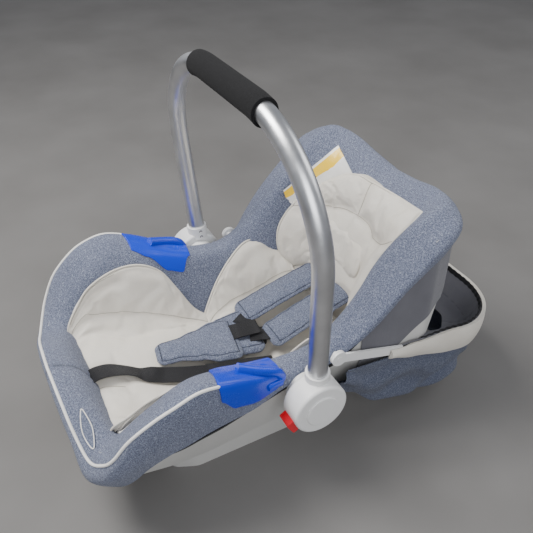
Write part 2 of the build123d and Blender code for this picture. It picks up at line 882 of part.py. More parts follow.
save(make_guide_screws(), "guide_screws")
save(make_tube(), "handle_tube")
save(make_grip(), "handle_grip")
save(make_handle_screws(), "handle_screws")
save(make_bow(), "canopy_bow")
save(make_trim(), "canopy_trim")
save(make_fabric(), "canopy_fabric")
for side, name in ((-1, "left"), (1, "right")):
    save(make_shoulder_pad(side), f"shoulder_pad_{name}")
    save(strap_block(side, 0), f"shoulder_strap_{name}")
    save(make_guide(side), f"belt_guide_{name}")
    save(make_mount(side), f"handle_mount_{name}")
    save(make_hub_arm(side), f"handle_hub_{name}")
    save(make_cap(side), f"hub_cap_{name}")
    save(make_release_button(side), f"release_button_{name}")
    save(make_button_spring(side), f"button_spring_{name}")
    save(make_canopy_socket(side), f"canopy_socket_{name}")
    save(make_canopy_arm(side), f"canopy_arm_{name}")
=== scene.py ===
import bpy, json, math
from mathutils import Vector, Matrix, noise
from mathutils.kdtree import KDTree
from mathutils.bvhtree import BVHTree


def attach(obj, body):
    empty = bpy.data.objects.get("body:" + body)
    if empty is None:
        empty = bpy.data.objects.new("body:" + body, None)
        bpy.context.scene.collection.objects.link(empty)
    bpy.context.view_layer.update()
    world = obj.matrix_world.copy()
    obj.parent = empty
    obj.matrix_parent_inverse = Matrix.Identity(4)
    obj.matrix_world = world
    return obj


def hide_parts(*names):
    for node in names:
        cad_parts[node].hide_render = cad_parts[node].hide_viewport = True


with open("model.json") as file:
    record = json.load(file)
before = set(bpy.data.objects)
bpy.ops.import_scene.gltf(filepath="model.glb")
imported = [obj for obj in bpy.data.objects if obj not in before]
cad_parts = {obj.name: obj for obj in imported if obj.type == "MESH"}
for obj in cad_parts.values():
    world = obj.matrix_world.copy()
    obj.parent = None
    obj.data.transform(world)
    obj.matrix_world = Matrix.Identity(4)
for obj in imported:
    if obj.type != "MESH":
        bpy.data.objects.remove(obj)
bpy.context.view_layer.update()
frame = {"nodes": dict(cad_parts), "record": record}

print("frame loaded,", len(frame["nodes"]), "nodes")

# Every place below is counted from the handle's hub axis, in millimetres, and at() turns it to the row frame
swing = next(j for j in frame["record"]["behaviour"]["joints"] if j["name"] == "handle_swing")
hubY = swing["pos_m"][1]


def at(x, y, z):
    return Vector((x / 1000, hubY + y / 1000, z / 1000))


cameraView = dict(azimuth=61.67, elevation=36.78, distance=1.075, lens=43.23, aim=0.2566)


def makeCamera(v):
    a, e = math.radians(v["azimuth"]), math.radians(v["elevation"])
    back = Vector((math.sin(a) * math.cos(e), -math.cos(a) * math.cos(e), math.sin(e)))
    bpy.ops.object.camera_add(location=Vector((0, 0, v["aim"])) + back * v["distance"])
    cam = bpy.context.object
    cam.rotation_euler = (-back).to_track_quat("-Z", "Y").to_euler()
    cam.data.lens, cam.data.sensor_width, cam.data.clip_start = v["lens"], 36, 0.02
    bpy.context.scene.camera = cam


makeCamera(cameraView)


# Small tools
def clearSelection():
    if bpy.context.object and bpy.context.object.mode != "OBJECT":
        bpy.ops.object.mode_set(mode="OBJECT")
    bpy.ops.object.select_all(action="DESELECT")


def activate(obj):
    clearSelection()
    obj.select_set(True)
    bpy.context.view_layer.objects.active = obj
    return obj


def applyModifiers(obj):
    activate(obj)
    for m in list(obj.modifiers):
        bpy.ops.object.modifier_apply(modifier=m.name)


def settle(obj, name):
    # keeps the place in the mesh
    activate(obj)
    bpy.ops.object.transform_apply(location=True, rotation=True, scale=True)
    obj.name = obj.data.name = name
    return obj


def outward(obj, merge=0.00002):
    activate(obj)
    bpy.ops.object.mode_set(mode="EDIT")
    bpy.ops.mesh.select_all(action="SELECT")
    bpy.ops.mesh.remove_doubles(threshold=merge)
    bpy.ops.mesh.normals_make_consistent(inside=False)
    bpy.ops.object.mode_set(mode="OBJECT")


def smooth(obj, angle=40):
    activate(obj)
    bpy.ops.object.shade_smooth_by_angle(angle=math.radians(angle))


def join(objs, name):
    activate(objs[0])
    for o in objs[1:]:
        o.select_set(True)
    bpy.ops.object.join()
    return settle(bpy.context.object, name)


def dress(obj, material, body, replaced=()):
    obj.data.materials.clear()
    obj.data.materials.append(material)
    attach(obj, body)
    if replaced:
        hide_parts(*replaced)
    return obj


def curvePoint(points, t):
    # a smooth line through evenly counted points, t from 0 to 1; points hold any number of values
    n = len(points) - 1
    s = min(max(t, 0.0), 1.0) * n
    i = min(int(s), n - 1)
    f = s - i
    a, b, c, d = (points[min(max(k, 0), n)] for k in (i - 1, i, i + 1, i + 2))
    return [
        0.5 * (2 * q + (r - p) * f + (2 * p - 5 * q + 4 * r - w) * f * f + (3 * q - p - 3 * r + w) * f**3)
        for p, q, r, w in zip(a, b, c, d)
    ]


def tableAt(table, x):
    # value at x from (x, value) pairs, eased between them
    if x <= table[0][0]:
        return table[0][1]
    for (x0, v0), (x1, v1) in zip(table, table[1:]):
        if x <= x1:
            f = (x - x0) / (x1 - x0)
            return v0 + (v1 - v0) * f * f * (3 - 2 * f)
    return table[-1][1]


def gridSheet(name, cols, rows, place):
    # a grid whose points are put where place(u, v) says, u and v from 0 to 1
    clearSelection()
    bpy.ops.mesh.primitive_grid_add(x_subdivisions=cols, y_subdivisions=rows, size=2)
    obj = bpy.context.object
    obj.name = obj.data.name = name
    for v in obj.data.vertices:
        v.co = place((v.co.x + 1) / 2, (v.co.y + 1) / 2)
    return obj


def thicken(obj, thickness, offset=-1.0):
    m = obj.modifiers.new("thickness", "SOLIDIFY")
    m.thickness, m.offset, m.use_even_offset = thickness, offset, False
    applyModifiers(obj)


def tubeAlong(name, points, radius, closed=False, resolution=6, sides=3):
    # a round cord through points, made a mesh
    data = bpy.data.curves.new(name, "CURVE")
    data.dimensions, data.bevel_depth, data.bevel_resolution, data.resolution_u = "3D", radius, sides, resolution
    data.use_fill_caps = True
    line = data.splines.new("NURBS")
    line.points.add(len(points) - 1)
    for p, co in zip(line.points, points):
        p.co = (*co, 1)
    line.order_u, line.use_endpoint_u, line.use_cyclic_u = 3, not closed, closed
    obj = bpy.data.objects.new(name, data)
    bpy.context.scene.collection.objects.link(obj)
    activate(obj)
    bpy.ops.object.convert(target="MESH")
    obj = bpy.context.object
    outward(obj)
    smooth(obj, 60)
    return settle(obj, name)


def denseLine(points, step=0.002):
    out = []
    for a, b in zip(points, points[1:]):
        n = max(1, int((b - a).length / step))
        out += [a.lerp(b, k / n) for k in range(n)]
    return out + [points[-1]]


def treeOf(points):
    tree = KDTree(len(points))
    for i, p in enumerate(points):
        tree.insert(p, i)
    tree.balance()
    return tree


def sew(obj, lines, width, depth, attribute="seam"):
    # presses sewn lines into a mesh, and marks them for the material
    tree = treeOf([p for line in lines for p in denseLine(line)])
    mesh = obj.data
    layer = mesh.attributes.get(attribute) or mesh.attributes.new(attribute, "FLOAT", "POINT")
    normals = [v.normal.copy() for v in mesh.vertices]
    for v, n in zip(mesh.vertices, normals):
        d = tree.find(v.co)[2]
        if d < 3 * width:
            press = math.exp(-((d / width) ** 2))
            v.co -= n * depth * press
            layer.data[v.index].value = max(layer.data[v.index].value, press)
    mesh.update()


def meshTree(obj):
    return BVHTree.FromPolygons([obj.matrix_world @ v.co for v in obj.data.vertices],
                                [p.vertices for p in obj.data.polygons])


def keepOutside(obj, solid, gap):
    # moves skin points off a solid that they would sink into
    tree = meshTree(solid)
    for v in obj.data.vertices:
        reach = 0.02
        hit = tree.ray_cast(v.co + v.normal * reach, -v.normal, reach + gap)
        if hit[0] is not None:
            v.co = hit[0] + v.normal * gap
    obj.data.update()


def stitch(name, lines, radius, material, body="seat"):
    # sewing thread and welts, as fine cords
    cords = [tubeAlong(f"{name}_{i}", line, radius, resolution=2, sides=1) for i, line in enumerate(lines)]
    return dress(join(cords, name), material, body)


# Materials
class Shade:
    # short hand for a material's node tree
    def __init__(self, name, rough=0.5, metallic=0.0, sheen=0.0, sheenRough=0.5, specular=0.5, coat=0.0):
        self.material = bpy.data.materials.new(name)
        self.material.use_nodes = True
        self.tree = self.material.node_tree
        self.shader = self.tree.nodes["Principled BSDF"]
        self.set(self.shader, Roughness=rough, Metallic=metallic)
        self.shader.inputs["Specular IOR Level"].default_value = specular
        self.shader.inputs["Sheen Weight"].default_value = sheen
        self.shader.inputs["Sheen Roughness"].default_value = sheenRough
        self.shader.inputs["Coat Weight"].default_value = coat
        self.shader.inputs["Coat Roughness"].default_value = 0.08
        self.coords = self.tree.nodes.new("ShaderNodeTexCoord")

    def set(self, node, **values):
        for key, value in values.items():
            node.inputs[key.replace("_", " ")].default_value = value

    def link(self, output, node, socket):
        self.tree.links.new(output, node.inputs[socket])

    def noise(self, scale, detail=2.0, roughness=0.5):
        node = self.tree.nodes.new("ShaderNodeTexNoise")
        self.set(node, Scale=scale, Detail=detail, Roughness=roughness)
        self.link(self.coords.outputs["Object"], node, "Vector")
        return node.outputs["Fac"]

    def waves(self, scale, direction, source="Object", distortion=0.0, turn=(0, 0, 0)):
        mapping = self.tree.nodes.new("ShaderNodeMapping")
        mapping.inputs["Rotation"].default_value = turn
        self.link(self.coords.outputs[source], mapping, "Vector")
        node = self.tree.nodes.new("ShaderNodeTexWave")
        node.bands_direction = direction
        self.set(node, Scale=scale, Distortion=distortion)
        node.inputs["Detail Scale"].default_value = 2.0
        self.link(mapping.outputs["Vector"], node, "Vector")
        return node.outputs["Fac"]

    def cells(self, scale):
        node = self.tree.nodes.new("ShaderNodeTexVoronoi")
        self.set(node, Scale=scale)
        self.link(self.coords.outputs["Object"], node, "Vector")
        return node.outputs["Distance"]

    def attribute(self, name):
        node = self.tree.nodes.new("ShaderNodeAttribute")
        node.attribute_name = name
        return node.outputs["Fac"]

    def levels(self, value, low, high, outLow=0.0, outHigh=1.0):
        node = self.tree.nodes.new("ShaderNodeMapRange")
        for i, x in enumerate((low, high, outLow, outHigh)):
            node.inputs[i + 1].default_value = x
        self.link(value, node, "Value")
        return node.outputs["Result"]

    def mix(self, factor, a, b, kind="MIX"):
        node = self.tree.nodes.new("ShaderNodeMix")
        node.data_type, node.blend_type = "RGBA", kind
        for socket, value in ((0, factor), (6, a), (7, b)):
            if isinstance(value, (int, float)):
                node.inputs[socket].default_value = value
            elif isinstance(value, tuple):
                node.inputs[socket].default_value = (*value, 1)
            else:
                self.tree.links.new(value, node.inputs[socket])
        return node.outputs[2]

    def add(self, a, b, scale=1.0):
        node = self.tree.nodes.new("ShaderNodeMath")
        node.operation = "MULTIPLY_ADD"
        self.link(b, node, 0)
        node.inputs[1].default_value = scale
        self.link(a, node, 2)
        return node.outputs["Value"]

    def bump(self, height, distance, strength=1.0):
        node = self.tree.nodes.new("ShaderNodeBump")
        self.set(node, Distance=distance, Strength=strength)
        self.link(height, node, "Height")
        self.link(node.outputs["Normal"], self.shader, "Normal")

    def colour(self, output):
        self.link(output, self.shader, "Base Color")

    def roughness(self, output):
        self.link(output, self.shader, "Roughness")


def melangeCloth(name, dark, light, speck, shadow=0.55):
    # two yarns twisted together: fine flecks, a soft cloud of tone, and a plain weave
    s = Shade(name, rough=0.92, sheen=0.12, sheenRough=0.5, specular=0.2)
    flecks = s.noise(700, detail=2, roughness=0.8)
    knots = s.noise(430, detail=2, roughness=0.7)
    cloud = s.noise(22, detail=3)
    yarn = s.mix(s.levels(flecks, 0.42, 0.58), dark, light)
    yarn = s.mix(s.levels(knots, 0.55, 0.66, 0, 0.75), yarn, speck)
    yarn = s.mix(s.levels(cloud, 0.3, 0.7, 0, 0.12), yarn, tuple(0.8 * c for c in dark))
    seam = s.attribute("seam")
    s.colour(s.mix(s.levels(seam, 0.35, 1.0, 0, shadow), yarn, tuple(0.22 * c for c in dark)))
    weave = s.add(s.waves(330, "X", distortion=1.5), s.waves(330, "Y", distortion=1.5))
    s.bump(s.add(weave, flecks, 2.0), 0.00035, 0.8)
    s.roughness(s.levels(flecks, 0.3, 0.7, 0.85, 0.98))
    return s.material


def plainCloth(name, base, warm, scale=420, rough=0.88, sheen=0.25, seamShade=0.5):
    # fine smooth knit, with a faint change of tone and darker sewn lines
    s = Shade(name, rough=rough, sheen=sheen, sheenRough=0.4, specular=0.25)
    cloud = s.noise(14, detail=4)
    grain = s.noise(scale, detail=2, roughness=0.6)
    tone = s.mix(s.levels(cloud, 0.35, 0.7), base, warm)
    tone = s.mix(s.levels(grain, 0.35, 0.75, 0, 0.12), tone, tuple(0.72 * c for c in base))
    s.colour(s.mix(s.levels(s.attribute("seam"), 0.3, 1.0, 0, seamShade), tone, tuple(0.42 * c for c in warm)))
    bias = (0, 0, 0.78)
    knit = s.add(s.waves(260, "X", distortion=1.0, turn=bias), s.waves(260, "Y", distortion=1.0, turn=bias))
    s.bump(s.add(knit, grain, 1.5), 0.0002, 0.6)
    return s.material


def webbingCloth(name, base):
    # flat woven tape: ribs across it, read from the tape's own map
    s = Shade(name, rough=0.62, sheen=0.02, specular=0.35)
    ribs = s.waves(150, "Y", source="UV", distortion=0.4)
    rows = s.waves(14, "X", source="UV")
    fibre = s.noise(500, detail=2)
    low, high = (tuple(k * c for c in base) for k in (0.45, 1.9))
    s.colour(s.mix(s.levels(s.add(ribs, fibre), 0.4, 1.5, 0, 1), low, high))
    s.bump(s.add(ribs, rows, 0.5), 0.0003, 0.9)
    s.roughness(s.levels(fibre, 0.3, 0.7, 0.5, 0.75))
    return s.material


def mouldedPlastic(name, base, rough=0.42, grain=900, depth=0.00006, coat=0.0, dirt=0.12):
    # spark-eroded moulding: fine grain, and slightly uneven gloss
    s = Shade(name, rough=rough, coat=coat)
    pores = s.noise(grain, detail=3, roughness=0.6)
    patches = s.noise(9, detail=4)
    s.colour(s.mix(s.levels(patches, 0.35, 0.75, 0, dirt), base, tuple(0.72 * c for c in base)))
    s.roughness(s.levels(s.add(patches, pores, 0.4), 0.4, 1.0, max(rough - 0.08, 0.04), rough + 0.1))
    s.bump(pores, depth, 0.7)
    return s.material


def satinAluminium(name):
    # bead-blasted and anodised tube
    s = Shade(name, rough=0.34, metallic=1.0)
    beads = s.noise(1300, detail=2, roughness=0.7)
    clouds = s.noise(30, detail=3)
    s.colour(s.mix(s.levels(clouds, 0.3, 0.75), (0.62, 0.63, 0.65), (0.74, 0.745, 0.76)))
    s.roughness(s.levels(s.add(clouds, beads, 0.5), 0.4, 1.1, 0.26, 0.44))
    s.bump(beads, 0.00008, 0.8)
    return s.material


def closedFoam(name):
    # dense black foam sleeve with fine open pores
    s = Shade(name, rough=0.95, sheen=0.02, specular=0.15)
    pores = s.cells(900)
    lumps = s.noise(90, detail=3)
    s.colour(s.mix(s.levels(pores, 0.1, 0.6), (0.004, 0.004, 0.0045), (0.018, 0.018, 0.019)))
    s.bump(s.add(pores, lumps, 0.8), 0.0004, 0.7)
    return s.material


def printedTag(name, top, field, edge):
    # a blank two-tone card: a coloured band along its upper side, from the card's own map
    s = Shade(name, rough=0.35, specular=0.5, coat=0.25)
    split = s.tree.nodes.new("ShaderNodeSeparateXYZ")
    s.link(s.coords.outputs["UV"], split, "Vector")
    band = s.levels(split.outputs["Y"], 0.60, 0.602)
    limit = s.levels(split.outputs["Y"], 0.925, 0.927, 1, 0)
    inside = s.mix(1.0, band, limit, "MULTIPLY")
    colour = s.mix(inside, field, top)
    fibre = s.noise(260, detail=2)
    s.colour(s.mix(s.levels(fibre, 0.3, 0.8, 0, 0.08), colour, edge))
    s.bump(fibre, 0.00005, 0.5)
    return s.material


blueTone, paleTone = (0.085, 0.097, 0.155), (0.245, 0.275, 0.37)
cloths = dict(
    melange=melangeCloth("melange cloth", blueTone, paleTone, (0.42, 0.455, 0.55)),
    melangePad=melangeCloth("melange pad cloth", (0.08, 0.093, 0.15), (0.225, 0.255, 0.345), (0.37, 0.405, 0.50)),
    melangeCanopy=melangeCloth("melange canopy cloth", (0.055, 0.066, 0.11), (0.15, 0.17, 0.235),
                               (0.24, 0.265, 0.33)),
    cream=plainCloth("cream cloth", (0.76, 0.725, 0.655), (0.70, 0.655, 0.58), sheen=0.1, seamShade=0.85),
    # this lining cloth also dresses the sheet under the head wings, where its darkness is painted shade
    lining=plainCloth("grey lining and painted shade", (0.16, 0.16, 0.18), (0.12, 0.12, 0.14), rough=0.7),
    # lighter than the cream cloth; on the well's edge piping this lightness is a painted highlight
    piping=plainCloth("piping and painted highlight cloth", (0.88, 0.87, 0.84), (0.82, 0.80, 0.76), scale=600),
    binding=plainCloth("binding tape", (0.012, 0.012, 0.014), (0.02, 0.02, 0.022), scale=500, sheen=0.1),
    webbing=webbingCloth("black webbing", (0.014, 0.014, 0.016)),
    # the harness pads' stitching thread: partly its real dark colour, partly painted shade of the sewn grooves
    thread=plainCloth("sewing thread", (0.03, 0.035, 0.055), (0.045, 0.05, 0.075), scale=900, sheen=0.0),
    # darker than the cream cloth: painted shade of the sewn grooves, worn by the well pads' stitching cords
    creamThreadPaintedShade=plainCloth("cream thread with painted shade", (0.42, 0.38, 0.32), (0.36, 0.33, 0.28), scale=900, sheen=0.0),
)
plastics = dict(
    white=mouldedPlastic("white plastic", (0.80, 0.80, 0.79), rough=0.38),
    shell=mouldedPlastic("shell plastic", (0.66, 0.655, 0.63), rough=0.45, grain=500, depth=0.0001, dirt=0.2),
    blue=mouldedPlastic("blue plastic", (0.0, 0.035, 0.60), rough=0.24, coat=0.2, depth=0.00002),
    red=mouldedPlastic("red plastic", (0.66, 0.008, 0.02), rough=0.22, coat=0.3, depth=0.00002),
    black=mouldedPlastic("black plastic", (0.012, 0.012, 0.013), rough=0.36),
    foam=mouldedPlastic("liner foam", (0.85, 0.85, 0.83), rough=0.9, grain=300, depth=0.0004),
    steel=mouldedPlastic("dark screws", (0.10, 0.10, 0.11), rough=0.3, grain=300),
)
metals = dict(tube=satinAluminium("satin aluminium"))
grips = dict(foam=closedFoam("black grip foam"))
print("materials made")

nodeFinish = {
    "seat_shell": plastics["shell"], "rocker_base": plastics["shell"], "foam_liner": plastics["foam"],
    "cover_binding": cloths["binding"], "guide_screws": plastics["steel"], "handle_screws": plastics["steel"],
    "buckle_tongues": plastics["steel"], "buckle_body": plastics["black"], "buckle_button": plastics["black"],
    "adjuster_housing": plastics["black"], "adjuster_lever": plastics["black"], "yoke_plate": plastics["steel"],
    "handle_tube": metals["tube"], "handle_grip": grips["foam"], "canopy_bow": plastics["black"],
    "button_spring_left": plastics["steel"], "button_spring_right": plastics["steel"],
    "release_button_left": plastics["red"], "release_button_right": plastics["red"],
}
for part in ("handle_mount", "handle_hub", "hub_cap", "canopy_socket", "canopy_arm"):
    for side in ("left", "right"):
        nodeFinish[f"{part}_{side}"] = plastics["white"]
for node, finish in nodeFinish.items():
    mesh = frame["nodes"][node].data
    mesh.materials.clear()
    mesh.materials.append(finish)


# The cover: rows of section points from the well's wall over the rim and down outside, foot centre to head centre
# Each row: wall foot, inner edge, crown, outer edge, widest place, lower edge
coverRows = [
    [(0, -262, 112), (0, -288, 172), (0, -312, 194), (0, -337, 200), (0, -341, 168), (0, -318, 98)],
    [(60, -262, 112), (58, -287, 164), (59, -311, 184), (60, -335, 185), (60, -340, 152), (60, -318, 90)],
    [(96, -258, 112), (98, -285, 157), (103, -307, 167), (106, -332, 163), (106, -338, 134), (102, -317, 80)],
    [(110, -250, 112), (124, -280, 152), (136, -301, 156), (150, -325, 142), (150, -336, 114), (140, -314, 74)],
    [(116, -240, 112), (136, -272, 158), (156, -292, 167), (178, -312, 157), (182, -318, 126), (166, -296, 84)],
    [(120, -224, 112), (145, -260, 175), (168, -280, 188), (194, -299, 178), (199, -300, 148), (185, -278, 106)],
    [(122, -206, 112), (150, -240, 194), (176, -254, 214), (204, -276, 214), (210, -275, 176), (198, -252, 138)],
    [(122, -188, 112), (154, -215, 211), (182, -224, 240), (212, -241, 243), (215, -238, 205), (205, -222, 157)],
    [(122, -165, 110), (153, -190, 222), (184, -198, 255), (215, -211, 257), (216, -208, 216), (207, -196, 164)],
    [(120, -140, 108), (152, -163, 226), (183, -168, 261), (212, -175, 264), (214, -172, 222), (206, -165, 170)],
    [(116, -112, 104), (148, -128, 219), (178, -130, 249), (206, -132, 251), (210, -130, 215), (205, -128, 174)],
    [(110, -74, 99), (145, -86, 207), (171, -84, 230), (197, -82, 228), (202, -82, 203), (203, -88, 177)],
    [(105, -34, 95), (142, -40, 197), (166, -38, 213), (187, -36, 209), (193, -36, 196), (194, -38, 183)],
    [(103, 6, 94), (140, 6, 192), (164, 8, 207), (183, 8, 202), (189, 8, 195), (190, 6, 187)],
    [(103, 44, 95), (139, 44, 195), (162, 42, 210), (181, 40, 204), (188, 40, 198), (190, 40, 190)],
    [(104, 78, 99), (135, 88, 214), (155, 84, 240), (175, 76, 230), (187, 70, 212), (190, 68, 201)],
    [(105, 108, 106), (132, 124, 240), (150, 122, 281), (176, 113, 268), (197, 100, 244), (199, 98, 230)],
    [(105, 136, 118), (131, 146, 262), (145, 150, 316), (176, 145, 309), (203, 132, 280), (204, 130, 262)],
    [(104, 158, 135), (130, 160, 285), (146, 182, 351), (178, 182, 344), (205, 172, 320), (205, 168, 299)],
    [(101, 176, 158), (126, 176, 306), (152, 215, 380), (183, 218, 374), (206, 210, 352), (205, 204, 326)],
    [(98, 192, 188), (116, 200, 326), (150, 248, 394), (182, 250, 388), (203, 244, 368), (199, 240, 344)],
    [(92, 206, 222), (104, 222, 340), (136, 268, 396), (165, 276, 392), (186, 274, 376), (180, 268, 350)],
    [(70, 220, 252), (78, 236, 348), (98, 276, 391), (116, 292, 390), (132, 297, 374), (128, 292, 346)],
    [(35, 226, 268), (40, 240, 350), (48, 276, 382), (56, 296, 380), (62, 303, 362), (60, 299, 338)],
    [(0, 227, 272), (0, 241, 350), (0, 276, 377), (0, 297, 374), (0, 303, 358), (0, 300, 336)],
]
coverCut = dict(around=250, across=34, thickness=0.005)


def coverPoint(u, v):
    # u runs round the rim from the foot's centre over +X to the head and back over -X, v over the section
    side = 1 if u <= 0.5 else -1
    t = 2 * u if u <= 0.5 else 2 - 2 * u
    row = [curvePoint([r[k] for r in coverRows], t) for k in range(6)]
    x, y, z = curvePoint(row, v)
    return at(side * x, y, z)


def coverLine(v, t0=0.0, t1=1.0, side=1, count=90):
    # a line along the cover at a constant place over the section, on one side
    return [coverPoint(0.5 * t if side > 0 else 1 - 0.5 * t, v)
            for t in (t0 + (t1 - t0) * k / count for k in range(count + 1))]


def crossLine(t, side, v0=0.0, v1=1.0, count=30):
    u = 0.5 * t if side > 0 else 1 - 0.5 * t
    return [coverPoint(u, v0 + (v1 - v0) * k / count) for k in range(count + 1)]


def makeCover(c):
    obj = gridSheet("seat_cover_cloth", c["around"], c["across"], coverPoint)
    outward(obj)
    return obj


def finishCover(obj, c):
    # seams: along the head wings, across the hub saddles, over the head's corners and by the foot's centre
    lines = []
    for side in (1, -1):
        lines.append(coverLine(0.54, 0.64, 0.855, side))
        lines.append(crossLine(0.885, side, 0.1, 0.98))
        lines.append(crossLine(0.915, side, 0.1, 0.98))
        lines.append(crossLine(0.55, side, 0.0, 0.98))
    lines.append(crossLine(0.0, -1, 0.05, 0.98))
    for v in obj.data.vertices:
        # slack in the cloth: long shallow waves, more on the outside
        n = noise.noise(Vector((v.co.x * 9, v.co.y * 7, v.co.z * 11)))
        v.co += v.normal * 0.0016 * n
    obj.data.update()
    keepOutside(obj, frame["nodes"]["seat_shell"], 0.0022)
    sew(obj, lines, 0.0022, 0.0022)
    thicken(obj, c["thickness"])
    smooth(obj, 60)
    settle(obj, "seat_cover_cloth")
    return dress(obj, cloths["melange"], "seat", ["seat_cover", "foam_liner"])


cover = finishCover(makeCover(coverCut), coverCut)
coverTree = meshTree(cover)
print("cover sewn,", len(cover.data.polygons), "faces")

pipingSize = dict(radius=0.0023, frontEnd=0.405, innerRadius=0.0016)


def makePiping(p):
    outer = coverLine(0.6, 0, p["frontEnd"], -1)[::-1] + coverLine(0.6, 0, p["frontEnd"], 1)[1:]
    lift = Vector((0, 0, 0.0012))
    rim = tubeAlong("rim_piping", [q + lift for q in outer[::2]], p["radius"], resolution=3)
    dress(rim, cloths["piping"], "seat", ["cover_piping"])
    for side, name in ((1, "right"), (-1, "left")):
        inner = coverLine(0.2, 0.16, 0.42, side)
        edge = tubeAlong(f"well_piping_{name}", [q + lift for q in inner[::3]], p["innerRadius"], resolution=3)
        # the well's edge piping is the cushion's cream cloth; the lighter piping colour on it is a painted highlight
        # along its lit edge
        dress(edge, cloths["piping"], "seat")


makePiping(pipingSize)


# Pads in the well. Each row of points runs from a pad's middle out to its edge, and the rows follow the child's back
seatRows = [
    [(0, -289, 135), (60, -289, 135), (98, -288, 133), (110, -287, 132), (117, -286, 132)],
    [(0, -271, 132), (60, -271, 132), (102, -273, 137), (117, -277, 150), (122, -279, 162)],
    [(0, -245, 127), (64, -246, 128), (107, -251, 139), (126, -254, 166), (134, -255, 190)],
    [(0, -215, 120), (66, -216, 121), (106, -221, 132), (131, -226, 172), (141, -229, 214)],
    [(0, -180, 114), (66, -180, 115), (103, -184, 126), (131, -186, 174), (145, -184, 230)],
    [(0, -145, 109), (64, -145, 110), (100, -146, 120), (128, -146, 170), (144, -140, 228)],
    [(0, -110, 104), (60, -110, 105), (94, -110, 114), (120, -110, 158), (138, -104, 206)],
    [(0, -80, 100), (58, -80, 101), (88, -80, 107), (110, -80, 134), (126, -80, 166)],
    [(0, -56, 98), (54, -56, 99), (82, -56, 102), (100, -56, 112), (111, -57, 122)],
    [(0, -36, 96), (50, -36, 96), (74, -36, 98), (90, -36, 101), (98, -37, 105)],
]
bodyRows = [
    [(0, -38, 95), (50, -38, 95), (74, -38, 97), (89, -39, 99), (97, -42, 100)],
    [(0, -24, 94), (52, -24, 95), (80, -24, 99), (98, -25, 109), (106, -28, 122)],
    [(0, 0, 94), (54, 0, 95), (84, 0, 102), (108, 0, 128), (121, -1, 156)],
    [(0, 30, 95), (56, 30, 96), (86, 30, 105), (116, 30, 150), (131, 32, 190)],
    [(0, 60, 100), (56, 60, 101), (86, 60, 111), (119, 60, 162), (139, 66, 211)],
    [(0, 90, 110), (56, 90, 111), (84, 90, 121), (116, 92, 170), (138, 97, 211)],
    [(0, 120, 124), (54, 120, 125), (82, 120, 135), (112, 120, 170), (131, 126, 193)],
    [(0, 146, 141), (52, 146, 142), (76, 146, 148), (98, 146, 160), (112, 146, 168)],
]
pillowRows = [
    [(0, 178, 166), (50, 178, 166), (78, 168, 160), (96, 156, 150), (106, 150, 146)],
    [(0, 192, 200), (52, 190, 200), (84, 176, 196), (106, 150, 190), (117, 130, 186)],
    [(0, 206, 240), (52, 203, 240), (86, 188, 238), (111, 158, 233), (124, 131, 228)],
    [(0, 216, 280), (52, 212, 280), (84, 198, 279), (108, 174, 271), (125, 150, 262)],
    [(0, 224, 315), (48, 221, 315), (76, 210, 312), (98, 194, 303), (117, 179, 294)],
    [(0, 231, 343), (40, 228, 340), (64, 220, 333), (84, 212, 322), (106, 202, 308)],
    [(0, 238, 366), (24, 237, 365), (48, 233, 357), (72, 227, 343), (94, 218, 325)],
]
pillowNearRows = [
    [(0, 178, 166), (50, 178, 166), (78, 168, 160), (96, 156, 150), (106, 150, 146)],
    [(0, 192, 200), (52, 190, 200), (84, 176, 197), (106, 152, 193), (118, 132, 192)],
    [(0, 206, 240), (52, 203, 240), (86, 189, 240), (112, 162, 241), (127, 138, 246)],
    [(0, 216, 280), (52, 212, 281), (86, 201, 285), (114, 184, 291), (135, 164, 300)],
    [(0, 224, 315), (50, 221, 318), (82, 213, 325), (114, 200, 334), (138, 188, 344)],
    [(0, 231, 343), (44, 230, 348), (78, 226, 356), (112, 220, 362), (140, 216, 366)],
    [(0, 238, 366), (40, 240, 370), (74, 240, 373), (108, 240, 375), (136, 238, 378)],
]
headRows = [
    [(2, 186, 212), (18, 186, 212), (32, 184, 212), (42, 182, 213), (48, 180, 214)],
    [(2, 192, 226), (22, 191, 226), (42, 187, 226), (56, 183, 226), (64, 179, 226)],
    [(2, 198, 244), (24, 197, 244), (46, 192, 244), (60, 187, 244), (68, 182, 244)],
    [(2, 203, 262), (22, 202, 262), (42, 198, 262), (56, 194, 262), (63, 190, 262)],
    [(2, 207, 276), (16, 206, 276), (30, 205, 276), (40, 203, 275), (46, 201, 274)],
]


nearDip = dict(depth=32, start=0.6, run=1.15)  # the seat pad's near wing lies lower


def rowsPoint(rows, u, v):
    # u across from the -X edge to the +X edge, v from the first row to the last
    side, a = (1, 2 * u - 1) if u >= 0.5 else (-1, 1 - 2 * u)
    rows = pillowNearRows if rows is pillowRows and side > 0 else rows
    x, y, z = curvePoint([curvePoint([r[k] for r in rows], v) for k in range(5)], a)
    if rows is seatRows and side > 0:
        z -= nearDip["depth"] * max(0, a - nearDip["start"]) * math.sin(math.pi * min(v * nearDip["run"], 1))
    return at(side * x, y, z)


def rowsLine(rows, steps, count=60):
    # a line drawn on a pad through (u, v) places
    return [rowsPoint(rows, *curvePoint(steps, k / count)) for k in range(count + 1)]


def edgesOf(place, count=70):
    runs = [[place(k / count, 0) for k in range(count + 1)], [place(k / count, 1) for k in range(count + 1)],
            [place(0, k / count) for k in range(count + 1)], [place(1, k / count) for k in range(count + 1)]]
    return [p for run in runs for p in denseLine(run, 0.003)]


